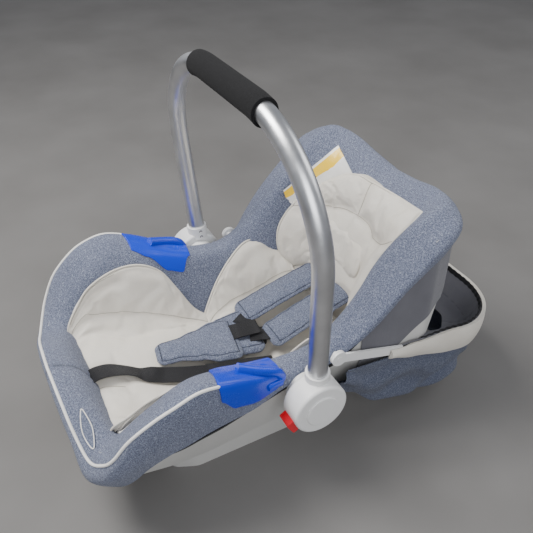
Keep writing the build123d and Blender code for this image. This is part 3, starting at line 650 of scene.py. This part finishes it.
def puff(obj, held, pressure, cap, frames=20):
    # lets the filling press the cloth out between its held edges and seams, and gathers it where it is slack
    tree = treeOf(held)
    group = obj.vertex_groups.new(name="held")
    for v in obj.data.vertices:
        group.add([v.index], math.exp(-((tree.find(v.co)[2] / 0.006) ** 2)), "REPLACE")
    rest = [v.co.copy() for v in obj.data.vertices]
    cloth = obj.modifiers.new("cloth", "CLOTH")
    s = cloth.settings
    s.quality, s.mass, s.tension_stiffness, s.bending_stiffness = 5, 0.25, 12, 0.6
    s.use_pressure, s.uniform_pressure_force, s.shrink_min = True, pressure, -0.02
    s.vertex_group_mass, s.effector_weights.gravity = "held", 0
    for step in range(1, frames + 1):
        bpy.context.scene.frame_set(step)
    applyModifiers(obj)
    bpy.context.scene.frame_set(1)
    for v, r in zip(obj.data.vertices, rest):
        d = v.co - r
        v.co = r + d * (min(d.length, cap) / max(d.length, 1e-9))


def makePad(name, place, seams, c):
    # a closed cushion: crowned between its edge and its seams, backed by a flat under side
    obj = gridSheet(name, c["cols"], c["rows"], place)
    edge = edgesOf(place)
    border, sewn = treeOf(edge), treeOf([p for line in seams for p in denseLine(line)] + edge[:1])
    mesh = obj.data
    base = [v.co.copy() for v in mesh.vertices]
    normals = [v.normal.copy() for v in mesh.vertices]
    for i, v in enumerate(mesh.vertices):
        d = min(border.find(v.co)[2] / c["round"], 1.0)
        s = sewn.find(v.co)[2]
        rise = c["height"] * math.sqrt(max(0.0, 1 - (1 - d) ** 2))
        rise *= 1 - c["tuck"] * math.exp(-((s / c["valley"]) ** 2))
        wave = noise.noise(base[i] * 34) * c["slack"] * d
        v.co = base[i] + normals[i] * (rise + wave)
    thicken(obj, c["back"])
    outward(obj)
    puff(obj, edge + [p for line in seams for p in denseLine(line, 0.004)], c["pressure"], c["cap"])
    m = obj.modifiers.new("fine", "SUBSURF")
    m.levels = m.render_levels = 1
    applyModifiers(obj)
    if seams:
        sew(obj, seams, 0.0020, 0.0020)
    smooth(obj, 60)
    return settle(obj, name)


padCuts = dict(
    seat=dict(cols=84, rows=70, height=0.006, round=0.030, tuck=0.55, valley=0.012, slack=0.0010, back=0.006,
              pressure=2.0, cap=0.003),
    body=dict(cols=80, rows=56, height=0.006, round=0.026, tuck=0.55, valley=0.012, slack=0.0009, back=0.006,
              pressure=2.0, cap=0.003),
    pillow=dict(cols=80, rows=72, height=0.013, round=0.040, tuck=0.60, valley=0.016, slack=0.0009, back=0.008,
                pressure=2.5, cap=0.004),
    head=dict(cols=44, rows=36, height=0.012, round=0.024, tuck=0.0, valley=0.01, slack=0.0008, back=0.006,
              pressure=2.0, cap=0.003),
)


def wallSeams(rows, spots):
    # the same sewn line on both sides of a pad
    return [rowsLine(rows, [(u if side > 0 else 1 - u, v) for u, v in spots]) for side in (1, -1)]


def onSkin(obj, lines, lift=0.0004, towards=(0, -0.35, 0.94)):
    # lays lines on a finished pad's face
    tree = meshTree(obj)
    down = -Vector(towards)
    laid = []
    for line in lines:
        hits = [tree.ray_cast(p - down * 0.03, down)[0] or p for p in line]
        laid.append([h - down * lift for h in hits])
    return laid


def makeWellPads(c):
    seatSeams = wallSeams(seatRows, [(0.86, 0.0), (0.845, 0.25), (0.81, 0.5), (0.79, 0.75), (0.80, 0.97)])
    seatSeams += wallSeams(seatRows, [(0.925, 0.13), (0.945, 0.24), (0.955, 0.36), (0.95, 0.46)])
    seatSeams += wallSeams(seatRows, [(0.55, 0.02), (0.54, 0.16), (0.555, 0.28)])
    seat = makePad("seat_pad_cushion", lambda u, v: rowsPoint(seatRows, u, v), seatSeams, c["seat"])
    bodySeams = wallSeams(bodyRows, [(0.80, 0.02), (0.80, 0.3), (0.79, 0.6), (0.80, 0.98)])
    body = makePad("body_pad_cushion", lambda u, v: rowsPoint(bodyRows, u, v), bodySeams, c["body"])
    pillowSeams = [
        rowsLine(pillowRows, [(0.53, 1.0), (0.53, 0.8), (0.52, 0.62)]),
        rowsLine(pillowRows, [(0.52, 0.62), (0.59, 0.62), (0.66, 0.56)]),
        rowsLine(pillowRows, [(0.52, 0.62), (0.44, 0.60), (0.36, 0.55)]),
        rowsLine(pillowRows, [(0.66, 0.56), (0.80, 0.58), (0.98, 0.66)]),
        rowsLine(pillowRows, [(0.34, 0.55), (0.20, 0.53), (0.02, 0.56)]),
    ]
    pillow = makePad("head_pillow_cushion", lambda u, v: rowsPoint(pillowRows, u, v), pillowSeams, c["pillow"])
    head = makePad("head_pad_round", lambda u, v: rowsPoint(headRows, u, v), [], c["head"])
    for obj, nodes in ((seat, ["seat_pad"]), (body, ["body_pad"]), (pillow, ["head_pillow"]), (head, [])):
        dress(obj, cloths["cream"], "seat", nodes)
    threads = onSkin(seat, seatSeams) + onSkin(body, bodySeams)
    threads += onSkin(pillow, pillowSeams, towards=(0, -0.94, 0.35))
    # the stitching cords are darkened well below the cream pads: painted shade along the sewn grooves
    stitch("well_pad_stitching", threads, 0.0005, cloths["creamThreadPaintedShade"])
    for rows, name in ((seatRows, "seat"), (bodyRows, "body"), (pillowRows, "pillow")):
        ring = [rowsPoint(rows, k / 60, 0) for k in range(61)]
        ring += [rowsPoint(rows, 1, k / 50) for k in range(1, 51)]
        ring += [rowsPoint(rows, 1 - k / 60, 1) for k in range(1, 61)]
        ring += [rowsPoint(rows, 0, 1 - k / 50) for k in range(1, 50)]
        welt = tubeAlong(f"{name}_pad_welt", [p + Vector((0, -0.0006, 0.0012)) for p in ring], 0.0017, closed=True,
                         resolution=2, sides=2)
        dress(welt, cloths["cream"], "seat")
    return seat, body, pillow, head


seatCushion, bodyCushion, pillowCushion, headCushion = makeWellPads(padCuts)
print("well pads filled")

liningCut = dict(cols=40, rows=60, drop=0.006, thickness=0.003)


def makeLining(c):
    # the well's own floor cloth, seen in the gaps between the pads
    rows = [[(x, y, z - 9) for x, y, z in row] for row in seatRows[0:9:2] + bodyRows[1:8:2]]
    rows += [[(x * 0.97, y + 10, z) for x, y, z in pillowRows[k]] for k in (2, 4, 6)]
    obj = gridSheet("well_lining", c["cols"], c["rows"], lambda u, v: rowsPoint(rows, u, v))
    thicken(obj, c["thickness"])
    outward(obj)
    smooth(obj, 60)
    dress(settle(obj, "well_lining"), cloths["cream"], "seat")


makeLining(liningCut)


# Harness: quilted pads on the straps, the buckle's webbing and the adjuster's loose strap
def padPlace(p):
    # a flat round-cornered cut between two points, with its half widths along it
    a, b = at(*p["start"]), at(*p["end"])
    run = b - a
    along = run.normalized()
    across = along.cross(Vector((0, 0, 1))).normalized()
    up = across.cross(along)
    radius = p["corner"] / 1000

    def place(u, v):
        y = v * run.length
        half = tableAt(p["half"], v) / 1000
        short = max(0.0, max(radius - y, y - (run.length - radius)))
        half -= radius - math.sqrt(max(radius**2 - short**2, 0))
        bow = p["bow"] / 1000 * math.sin(math.pi * v)
        return a + along * y + across * (2 * u - 1) * half + up * bow

    return place


harnessPads = {
    "shoulder_pad_near": dict(start=(36, 22, 127), end=(33, 196, 178), half=[(0, 32), (1, 31)], corner=18, bow=3,
                              replaced=["shoulder_pad_right"]),
    "shoulder_pad_far": dict(start=(-47, 6, 122), end=(-43, 178, 172), half=[(0, 31), (1, 30)], corner=18, bow=2,
                             replaced=["shoulder_pad_left"]),
    "buckle_under_pad": dict(start=(-10, -58, 119), end=(-2, 20, 121), half=[(0, 50), (1, 60)], corner=20, bow=0,
                             replaced=[]),
    "crotch_pad_quilted": dict(start=(-16, -166, 126), end=(10, -22, 127),
                               half=[(0, 27), (0.25, 28), (0.5, 38), (0.72, 51), (1, 52)], corner=17, bow=3,
                               replaced=["crotch_pad"]),
}
harnessPadCut = dict(cols=34, rows=64, height=0.0100, round=0.015, tuck=0.0, valley=0.01, slack=0.0006, back=0.0075,
                     pressure=2.0, cap=0.002)


def insetRing(place, inset=0.10, count=40):
    # a stitched line just inside a pad's edge
    corners = [(inset, inset * 0.6), (1 - inset, inset * 0.6), (1 - inset, 1 - inset * 0.6), (inset, 1 - inset * 0.6)]
    ring = []
    for (u0, v0), (u1, v1) in zip(corners, corners[1:] + corners[:1]):
        ring += [place(u0 + (u1 - u0) * k / count, v0 + (v1 - v0) * k / count) for k in range(count)]
    return ring + ring[:1]


def makeHarnessPads():
    for name, p in harnessPads.items():
        place = padPlace(p)
        obj = makePad(name, place, [], harnessPadCut)
        # the stitched line is pressed into the crowned top
        top = meshTree(obj)
        ring = [top.ray_cast(q + Vector((0, 0, 0.05)), Vector((0, 0, -1)))[0] or q for q in insetRing(place)]
        sew(obj, [ring], 0.0016, 0.0016)
        thread = [q + Vector((0, 0, -0.0006)) for q in ring]
        # the thread cord is real stitching, darkened below the pad cloth as painted shade of its groove
        stitch(f"{name}_stitching", [thread], 0.0005, cloths["thread"])
        dress(obj, cloths["melangePad"], "seat", p["replaced"])


makeHarnessPads()


def tape(name, points, width, thickness=0.0016, roll=((0, 0), (1, 0)), count=90):
    # flat webbing along a line; roll turns it about its run, in degrees
    places = [Vector(curvePoint(points, k / count)) for k in range(count + 1)]
    sides = []
    for k in range(count + 1):
        run = (places[min(k + 1, count)] - places[max(k - 1, 0)]).normalized()
        across = run.cross(Vector((0, 0, 1)))
        across = across.normalized() if across.length > 0.1 else Vector((1, 0, 0))
        if sides and across.dot(sides[-1]) < 0:
            across = -across
        sides.append(Matrix.Rotation(math.radians(tableAt(roll, k / count)), 3, run) @ across)

    def place(u, v):
        i = min(int(round(v * count)), count)
        return places[i] + sides[i] * (u - 0.5) * width

    obj = gridSheet(name, 8, count, place)
    length = sum((b - a).length for a, b in zip(places, places[1:]))
    layer = obj.data.uv_layers[0]
    for item in layer.data:
        item.uv = (item.uv[0], item.uv[1] * length * 20)
    thicken(obj, thickness, 0.0)
    outward(obj, 0.00001)
    smooth(obj, 40)
    return settle(obj, name), length


adjusterRoute = [(0, -296, 108), (0, -292, 132), (-1, -276, 150), (-3, -250, 148), (2, -222, 139), (14, -200, 133),
                 (28, -178, 131), (46, -138, 129), (60, -96, 127), (74, -50, 125), (84, -10, 124), (88, 6, 123)]
strapRoutes = {
    "webbing_near": dict(points=[(19, -4, 132), (24, 8, 134), (30, 22, 135), (36, 40, 135), (39, 66, 139),
                                 (40, 110, 153), (41, 170, 171), (41, 215, 184), (41, 250, 196)],
                         width=0.026, node="shoulder_strap_right"),
    "webbing_far": dict(points=[(-17, -10, 131), (-23, 0, 132), (-31, 14, 132), (-38, 30, 131), (-41, 60, 136),
                                (-42, 110, 151), (-42, 170, 169), (-41, 215, 184), (-41, 250, 196)],
                        width=0.026, node="shoulder_strap_left"),
    "webbing_crotch": dict(points=[(-4, -100, 98), (-4, -96, 116), (-3, -70, 126), (-2, -48, 132), (1, -24, 138),
                                   (8, 18, 139)],
                           width=0.036, node="crotch_strap"),
}


def makeStraps():
    for name, p in strapRoutes.items():
        obj, length = tape(name, [at(*q) for q in p["points"]], p["width"])
        dress(obj, cloths["webbing"], "seat", [p["node"]])
    route = [at(*q) for q in adjusterRoute]
    twist = ((0, 0), (0.25, 0), (0.42, -22), (0.52, 8), (1, 0))
    obj, length = tape("adjuster_webbing", route, 0.030, roll=twist, count=130)
    dress(obj, cloths["webbing"], "seat", ["adjuster_strap"])
    fold = [at(58, -104, 131), at(66, -74, 130), at(76, -38, 129), at(85, -8, 128), at(89, 6, 127), at(88, 8, 124)]
    end, endLength = tape("adjuster_webbing_end", fold, 0.030, count=40)
    dress(end, cloths["webbing"], "seat")


makeStraps()
print("harness laid")


# Lap belt guides: a blue saddle over the rim with a hooked finger
def coverNormal(u, v):
    a = coverPoint(u, v)
    n = (coverPoint(u + 0.002, v) - a).cross(coverPoint(u, v + 0.01) - a).normalized()
    return n if n.dot(Vector((0, 0, 1)) + Vector((math.copysign(0.3, a.x), 0, 0))) > 0 else -n


guideShape = dict(
    start=0.404, end=0.5, lift=0.0028, wall=0.0035,
    inner=[(0, 0.31), (0.25, 0.26), (0.55, 0.18), (0.8, 0.17), (1, 0.27)],
    outer=[(0, 0.74), (0.2, 0.84), (0.55, 0.87), (0.85, 0.84), (1, 0.72)],
    finger=[(178, -104, 246), (182, -90, 240), (186, -74, 233), (188, -58, 227), (189, -46, 220), (189, -40, 212),
            (188, -38, 204)],
    slot=[(172, -112, 252), (172, -92, 244), (171, -72, 234), (170, -58, 226)],
    lip=[(200, -66, 207), (198, -54, 207), (196, -42, 203)],
)


def makeGuides(g):
    for side, name in ((1, "right"), (-1, "left")):
        def place(u, v):
            t = g["start"] + (g["end"] - g["start"]) * u
            low, high = tableAt(g["inner"], u), tableAt(g["outer"], u)
            w = 0.5 * t if side > 0 else 1 - 0.5 * t
            s = low + (high - low) * v
            return coverPoint(w, s) + coverNormal(w, s) * g["lift"]

        saddle = gridSheet(f"guide_saddle_{name}", 40, 44, place)
        thicken(saddle, g["wall"], 1.0 if side > 0 else -1.0)
        outward(saddle)
        m = saddle.modifiers.new("edge", "BEVEL")
        m.width, m.segments, m.limit_method, m.angle_limit = 0.0012, 3, "ANGLE", math.radians(50)
        applyModifiers(saddle)
        finger = tubeAlong(f"guide_finger_{name}", [at(side * x, y, z) for x, y, z in g["finger"]], 0.0078, sides=5)
        clearSelection()
        bpy.ops.mesh.primitive_uv_sphere_add(radius=0.0095, location=at(side * 188, -40, 206), segments=28,
                                             ring_count=16)
        tip = settle(bpy.context.object, f"guide_tip_{name}")
        lipLine = [at(side * x, y, z) for x, y, z in g["lip"]]
        lip = tubeAlong(f"guide_lip_{name}", lipLine, 0.0055, sides=4)
        # the belt's slot beside the finger, pressed into the saddle
        sew(saddle, [[at(side * x, y, z) for x, y, z in g["slot"]]], 0.0035, 0.005)
        guide = join([saddle, finger, tip, lip], f"belt_guide_saddle_{name}")
        smooth(guide, 50)
        dress(guide, plastics["blue"], "seat", [f"belt_guide_{name}"])


makeGuides(guideShape)
print("belt guides made")


# Canopy: padded hoop trim, lining, and the folded cloth that hangs below
pivot = next(j for j in frame["record"]["behaviour"]["joints"] if j["name"] == "canopy_fold")["pos_m"]
hoopShape = dict(reach=362.0, tilt=math.radians(11), half=208.0, corner=118.0, start=92.0)


def hoopPoint(h, u, inset, drop):
    # a place by the hoop: u from the near arm round the back to the far arm,
    # inset towards the middle, drop below its plane
    half, far, r = h["half"] - inset, h["reach"] - inset, max(h["corner"] - inset, 5.0)
    runs = [far - r - h["start"], math.pi * r / 2, 2 * (half - r), math.pi * r / 2, far - r - h["start"]]
    d = u * sum(runs)
    if d <= runs[0]:
        x, y = half, h["start"] + d
    elif d <= runs[0] + runs[1]:
        a = (d - runs[0]) / r
        x, y = half - r + r * math.cos(a), far - r + r * math.sin(a)
    elif d <= runs[0] + runs[1] + runs[2]:
        x, y = half - r - (d - runs[0] - runs[1]), far
    elif d <= sum(runs[:4]):
        a = (d - runs[0] - runs[1] - runs[2]) / r
        x, y = -half + r - r * math.sin(a), far - r + r * math.cos(a)
    else:
        x, y = -half, far - r - (d - sum(runs[:4]))
    c, s = math.cos(h["tilt"]), math.sin(h["tilt"])
    return Vector((x / 1000, pivot[1] + (y * c - drop * s) / 1000, pivot[2] - (y * s + drop * c) / 1000))


trimWidth = [(0, 3), (0.06, 12), (0.16, 22), (0.3, 26), (0.7, 26), (0.84, 22), (0.94, 12), (1, 3)]
bagShape = dict(hoopShape, start=18.0, half=205.5, reach=359.5)
bagDepth = [(0, 66), (0.04, 92), (0.1, 120), (0.2, 122), (0.34, 98), (0.5, 90),
            (0.66, 98), (0.8, 122), (0.9, 120), (0.96, 92), (1, 66)]
bagTop = [(0, 22), (0.1, 14), (0.2, 20), (0.5, 26), (0.8, 20), (0.9, 14), (1, 22)]


def makeTrim(h):
    def place(u, v):
        half = tableAt(trimWidth, u)
        w = 2 * v - 1
        return hoopPoint(h, u, -1.5 + 3.5 * w * w, 4 + half * w)

    trim = gridSheet("canopy_trim_padded", 220, 14, place)
    thicken(trim, 0.006, -1.0)
    outward(trim)
    lines = [[place(k / 160, (1 + w) / 2) for k in range(161)] for w in (-0.8, 0.8)]
    sew(trim, lines, 0.0016, 0.0012)
    smooth(trim, 60)
    dress(settle(trim, "canopy_trim_padded"), cloths["cream"], "canopy", ["canopy_trim"])


def makeBag(h):
    # section from under the trim, out and down to the bottom fold, and up again inside
    def place(u, v):
        deep, top = tableAt(bagDepth, u), tableAt(bagTop, u)
        section = [(3, 0), (3, 0.16), (4, 0.38), (4, 0.6), (8, 0.84), (19, 1.0), (34, 0.98), (46, 0.84)]
        inset, share = curvePoint(section, v)
        sag = 5 * noise.noise(Vector((u * 16, v * 3, 0))) * v
        folds = math.sin(u * 40 + 9 * v + 5 * noise.noise(Vector((u * 9, v * 2, 4)))) * 6.5 * v * (1 - 0.4 * v)
        creases = 5.5 * math.sin(v * 15 + 6 * noise.noise(Vector((u * 10, 1, 2)))) * min(1, 3 * v)
        return hoopPoint(h, u, max(inset + sag + folds + creases, 0), top + (deep - top) * share)

    bag = gridSheet("canopy_cloth", 300, 60, place)
    thicken(bag, 0.0025, -1.0)
    outward(bag)
    lines = [[place(k / 200, 0.44) for k in range(201)], [place(k / 200, 0.08) for k in range(201)]]
    sew(bag, lines, 0.0016, 0.0016)
    smooth(bag, 60)
    dress(settle(bag, "canopy_cloth"), cloths["melangeCanopy"], "canopy", ["canopy_fabric"])
    cord = tubeAlong("canopy_welt", [place(k / 150, 0.46) for k in range(3, 148)], 0.0014, resolution=2, sides=2)
    dress(cord, cloths["melangeCanopy"], "canopy")


def makeInside(h):
    # dark lining drawn in from the trim, and the black elastic along its upper edge
    def place(u, v):
        half = tableAt(trimWidth, u)
        pucker = 1.4 * math.sin(u * 90) * v
        section = [(5, -0.75 * half), (9, 0), (18, 0.8 * half), (34, 1.25 * half), (56, 1.4 * half)]
        inset, drop = curvePoint(section, v)
        return hoopPoint(h, u, inset + pucker, drop)

    lining = gridSheet("canopy_lining", 240, 24, place)
    thicken(lining, 0.002, -1.0)
    outward(lining)
    sew(lining, [[place(k / 200, 0.55) for k in range(201)], [place(0.3, k / 30) for k in range(31)],
                 [place(0.7, k / 30) for k in range(31)]], 0.0016, 0.0016)
    smooth(lining, 60)
    dress(settle(lining, "canopy_lining"), cloths["lining"], "canopy")

    def bandPlace(u, v):
        w = 0.08 + 0.84 * u
        half = tableAt(trimWidth, w)
        return hoopPoint(h, w, 6.5 + 0.8 * math.sin(w * 400), -half + 2 + 9 * v)

    band = gridSheet("canopy_elastic", 300, 4, bandPlace)
    thicken(band, 0.002, -1.0)
    outward(band)
    smooth(band, 60)
    dress(settle(band, "canopy_elastic"), cloths["binding"], "canopy")


makeTrim(hoopShape)
makeBag(bagShape)
makeInside(hoopShape)
print("canopy made")


seatMiddle = at(0, 150, 0)


def keepOutsideRadial(obj, solid, gap):
    # pushes points straight out from the seat's middle until they clear a solid
    tree = meshTree(solid)
    for v in obj.data.vertices:
        out = Vector((v.co.x - seatMiddle.x, v.co.y - seatMiddle.y, 0)).normalized()
        hit = tree.ray_cast(v.co + out * 0.06, -out, 0.075)
        if hit[0] is not None and (hit[0] - v.co).dot(out) > -gap:
            v.co = hit[0] + out * gap
    obj.data.update()


# Painted shade: a dark sheet hung where the shell lies in shadow under the head wings
headShadeSheetCut = dict(start=0.672, drop=120.0, gap=0.003)


def makeHeadShadeSheet(c):
    # a dark sheet of the lining cloth on the shell below the head wings' lower edge: painted shade, standing for the
    # shadow that falls there
    def place(u, v):
        t = c["start"] + (1 - c["start"]) * (u if u <= 0.5 else 1 - u) / 0.5
        edge = coverPoint(0.5 * t if u <= 0.5 else 1 - 0.5 * t, 0.97)
        inward = Vector((seatMiddle.x - edge.x, seatMiddle.y - edge.y, 0)).normalized()
        pleat = 0.8 * math.sin(u * 120) * v
        return edge + inward * (0.007 + 0.030 * v + pleat / 1000) - Vector((0, 0, c["drop"] / 1000 * v))

    shadeSheet = gridSheet("head_shade_sheet", 180, 36, place)
    keepOutsideRadial(shadeSheet, frame["nodes"]["seat_shell"], c["gap"])
    thicken(shadeSheet, 0.0012, 0.0)
    outward(shadeSheet, 0.00001)
    sew(shadeSheet, [[place(0.16, k / 30) for k in range(31)], [place(0.84, k / 30) for k in range(31)],
                [place(k / 120, 0.5) for k in range(121)]], 0.0018, 0.0008)
    smooth(shadeSheet, 60)
    dress(settle(shadeSheet, "head_shade_sheet"), cloths["lining"], "seat")


makeHeadShadeSheet(headShadeSheetCut)


# A blank two-tone care tag on the far wing's inner face, and a plain sewn patch at the foot
def makeLabels():
    corners = [at(-139, 149, 303), at(-116, 251, 379), at(-54, 242, 355), at(-77, 140, 279)]

    def tagPlace(u, v):
        p = corners[3].lerp(corners[2], u).lerp(corners[0].lerp(corners[1], u), v)
        spot, normal, _, _ = coverTree.find_nearest(p)
        facing = Vector((0.55, -0.6, 0.55))
        return spot + (normal if normal.dot(facing) > 0 else -normal) * 0.003

    tag = gridSheet("blank_care_tag", 30, 16, tagPlace)
    thicken(tag, 0.0008, 0.0)
    outward(tag, 0.00001)
    smooth(tag, 50)
    dress(settle(tag, "blank_care_tag"), labels["tag"], "seat", ["care_tag"])

    def patchPlace(u, v):
        x, y = 2 * u - 1, 2 * v - 1
        dx, dy = x * math.sqrt(1 - y * y / 2), y * math.sqrt(1 - x * x / 2)
        t, s = 0.0925 + 0.030 * dx, 0.455 + 0.055 * dy + 0.035 * dx
        w = 0.5 * t
        return coverPoint(w, s) + coverNormal(w, s) * 0.0016

    patch = gridSheet("plain_patch", 24, 24, patchPlace)
    turns = [k * math.pi / 40 for k in range(80)]
    edge = [patchPlace(0.5 + 0.49 * math.cos(a), 0.5 + 0.49 * math.sin(a)) for a in turns]
    thicken(patch, 0.0008, 0.0)
    outward(patch, 0.00001)
    smooth(patch, 50)
    dress(settle(patch, "plain_patch"), cloths["melangePad"], "seat", ["sewn_patch"])
    raised = [p + Vector((0, 0, 0.0006)) for p in edge]
    rim = tubeAlong("patch_stitching", raised, 0.0008, closed=True, resolution=2, sides=2)
    dress(rim, cloths["piping"], "seat")


labels = dict(tag=printedTag("blank tag card", (0.95, 0.60, 0.0), (0.82, 0.81, 0.78), (0.7, 0.69, 0.66)))
makeLabels()
print("labels placed")
def makeStage():
    clearSelection()
    bpy.ops.mesh.primitive_plane_add(size=8, location=(0, 0, 0))
    floor = bpy.context.object
    floor.name = "floor"
    s = Shade("grey floor", rough=0.6, specular=0.3)
    s.colour(s.mix(s.levels(s.noise(3, detail=4), 0.3, 0.7), (0.15, 0.145, 0.14), (0.19, 0.185, 0.18)))
    floor.data.materials.append(s.material)


def areaLight(name, place, size, power, colour=(1, 1, 1)):
    clearSelection()
    bpy.ops.object.light_add(type="AREA", location=place)
    lamp = bpy.context.object
    lamp.name = name
    lamp.rotation_euler = (Vector((0, 0, 0.2)) - Vector(place)).to_track_quat("-Z", "Y").to_euler()
    lamp.data.size, lamp.data.energy, lamp.data.color = size, power, colour


def makeLights():
    areaLight("key", (-0.6, -1.0, 2.2), 1.1, 74, (1.0, 0.985, 0.96))
    areaLight("fill", (2.0, -0.8, 1.6), 1.6, 34, (0.97, 0.98, 1.0))
    areaLight("back", (0.4, 2.2, 1.8), 1.6, 20)
    world = bpy.data.worlds.new("studio")
    bpy.context.scene.world = world
    world.use_nodes = True
    background = world.node_tree.nodes["Background"]
    background.inputs["Color"].default_value = (0.9, 0.93, 1.0, 1)
    background.inputs["Strength"].default_value = 0.36


makeStage()
makeLights()
print("scene ready")
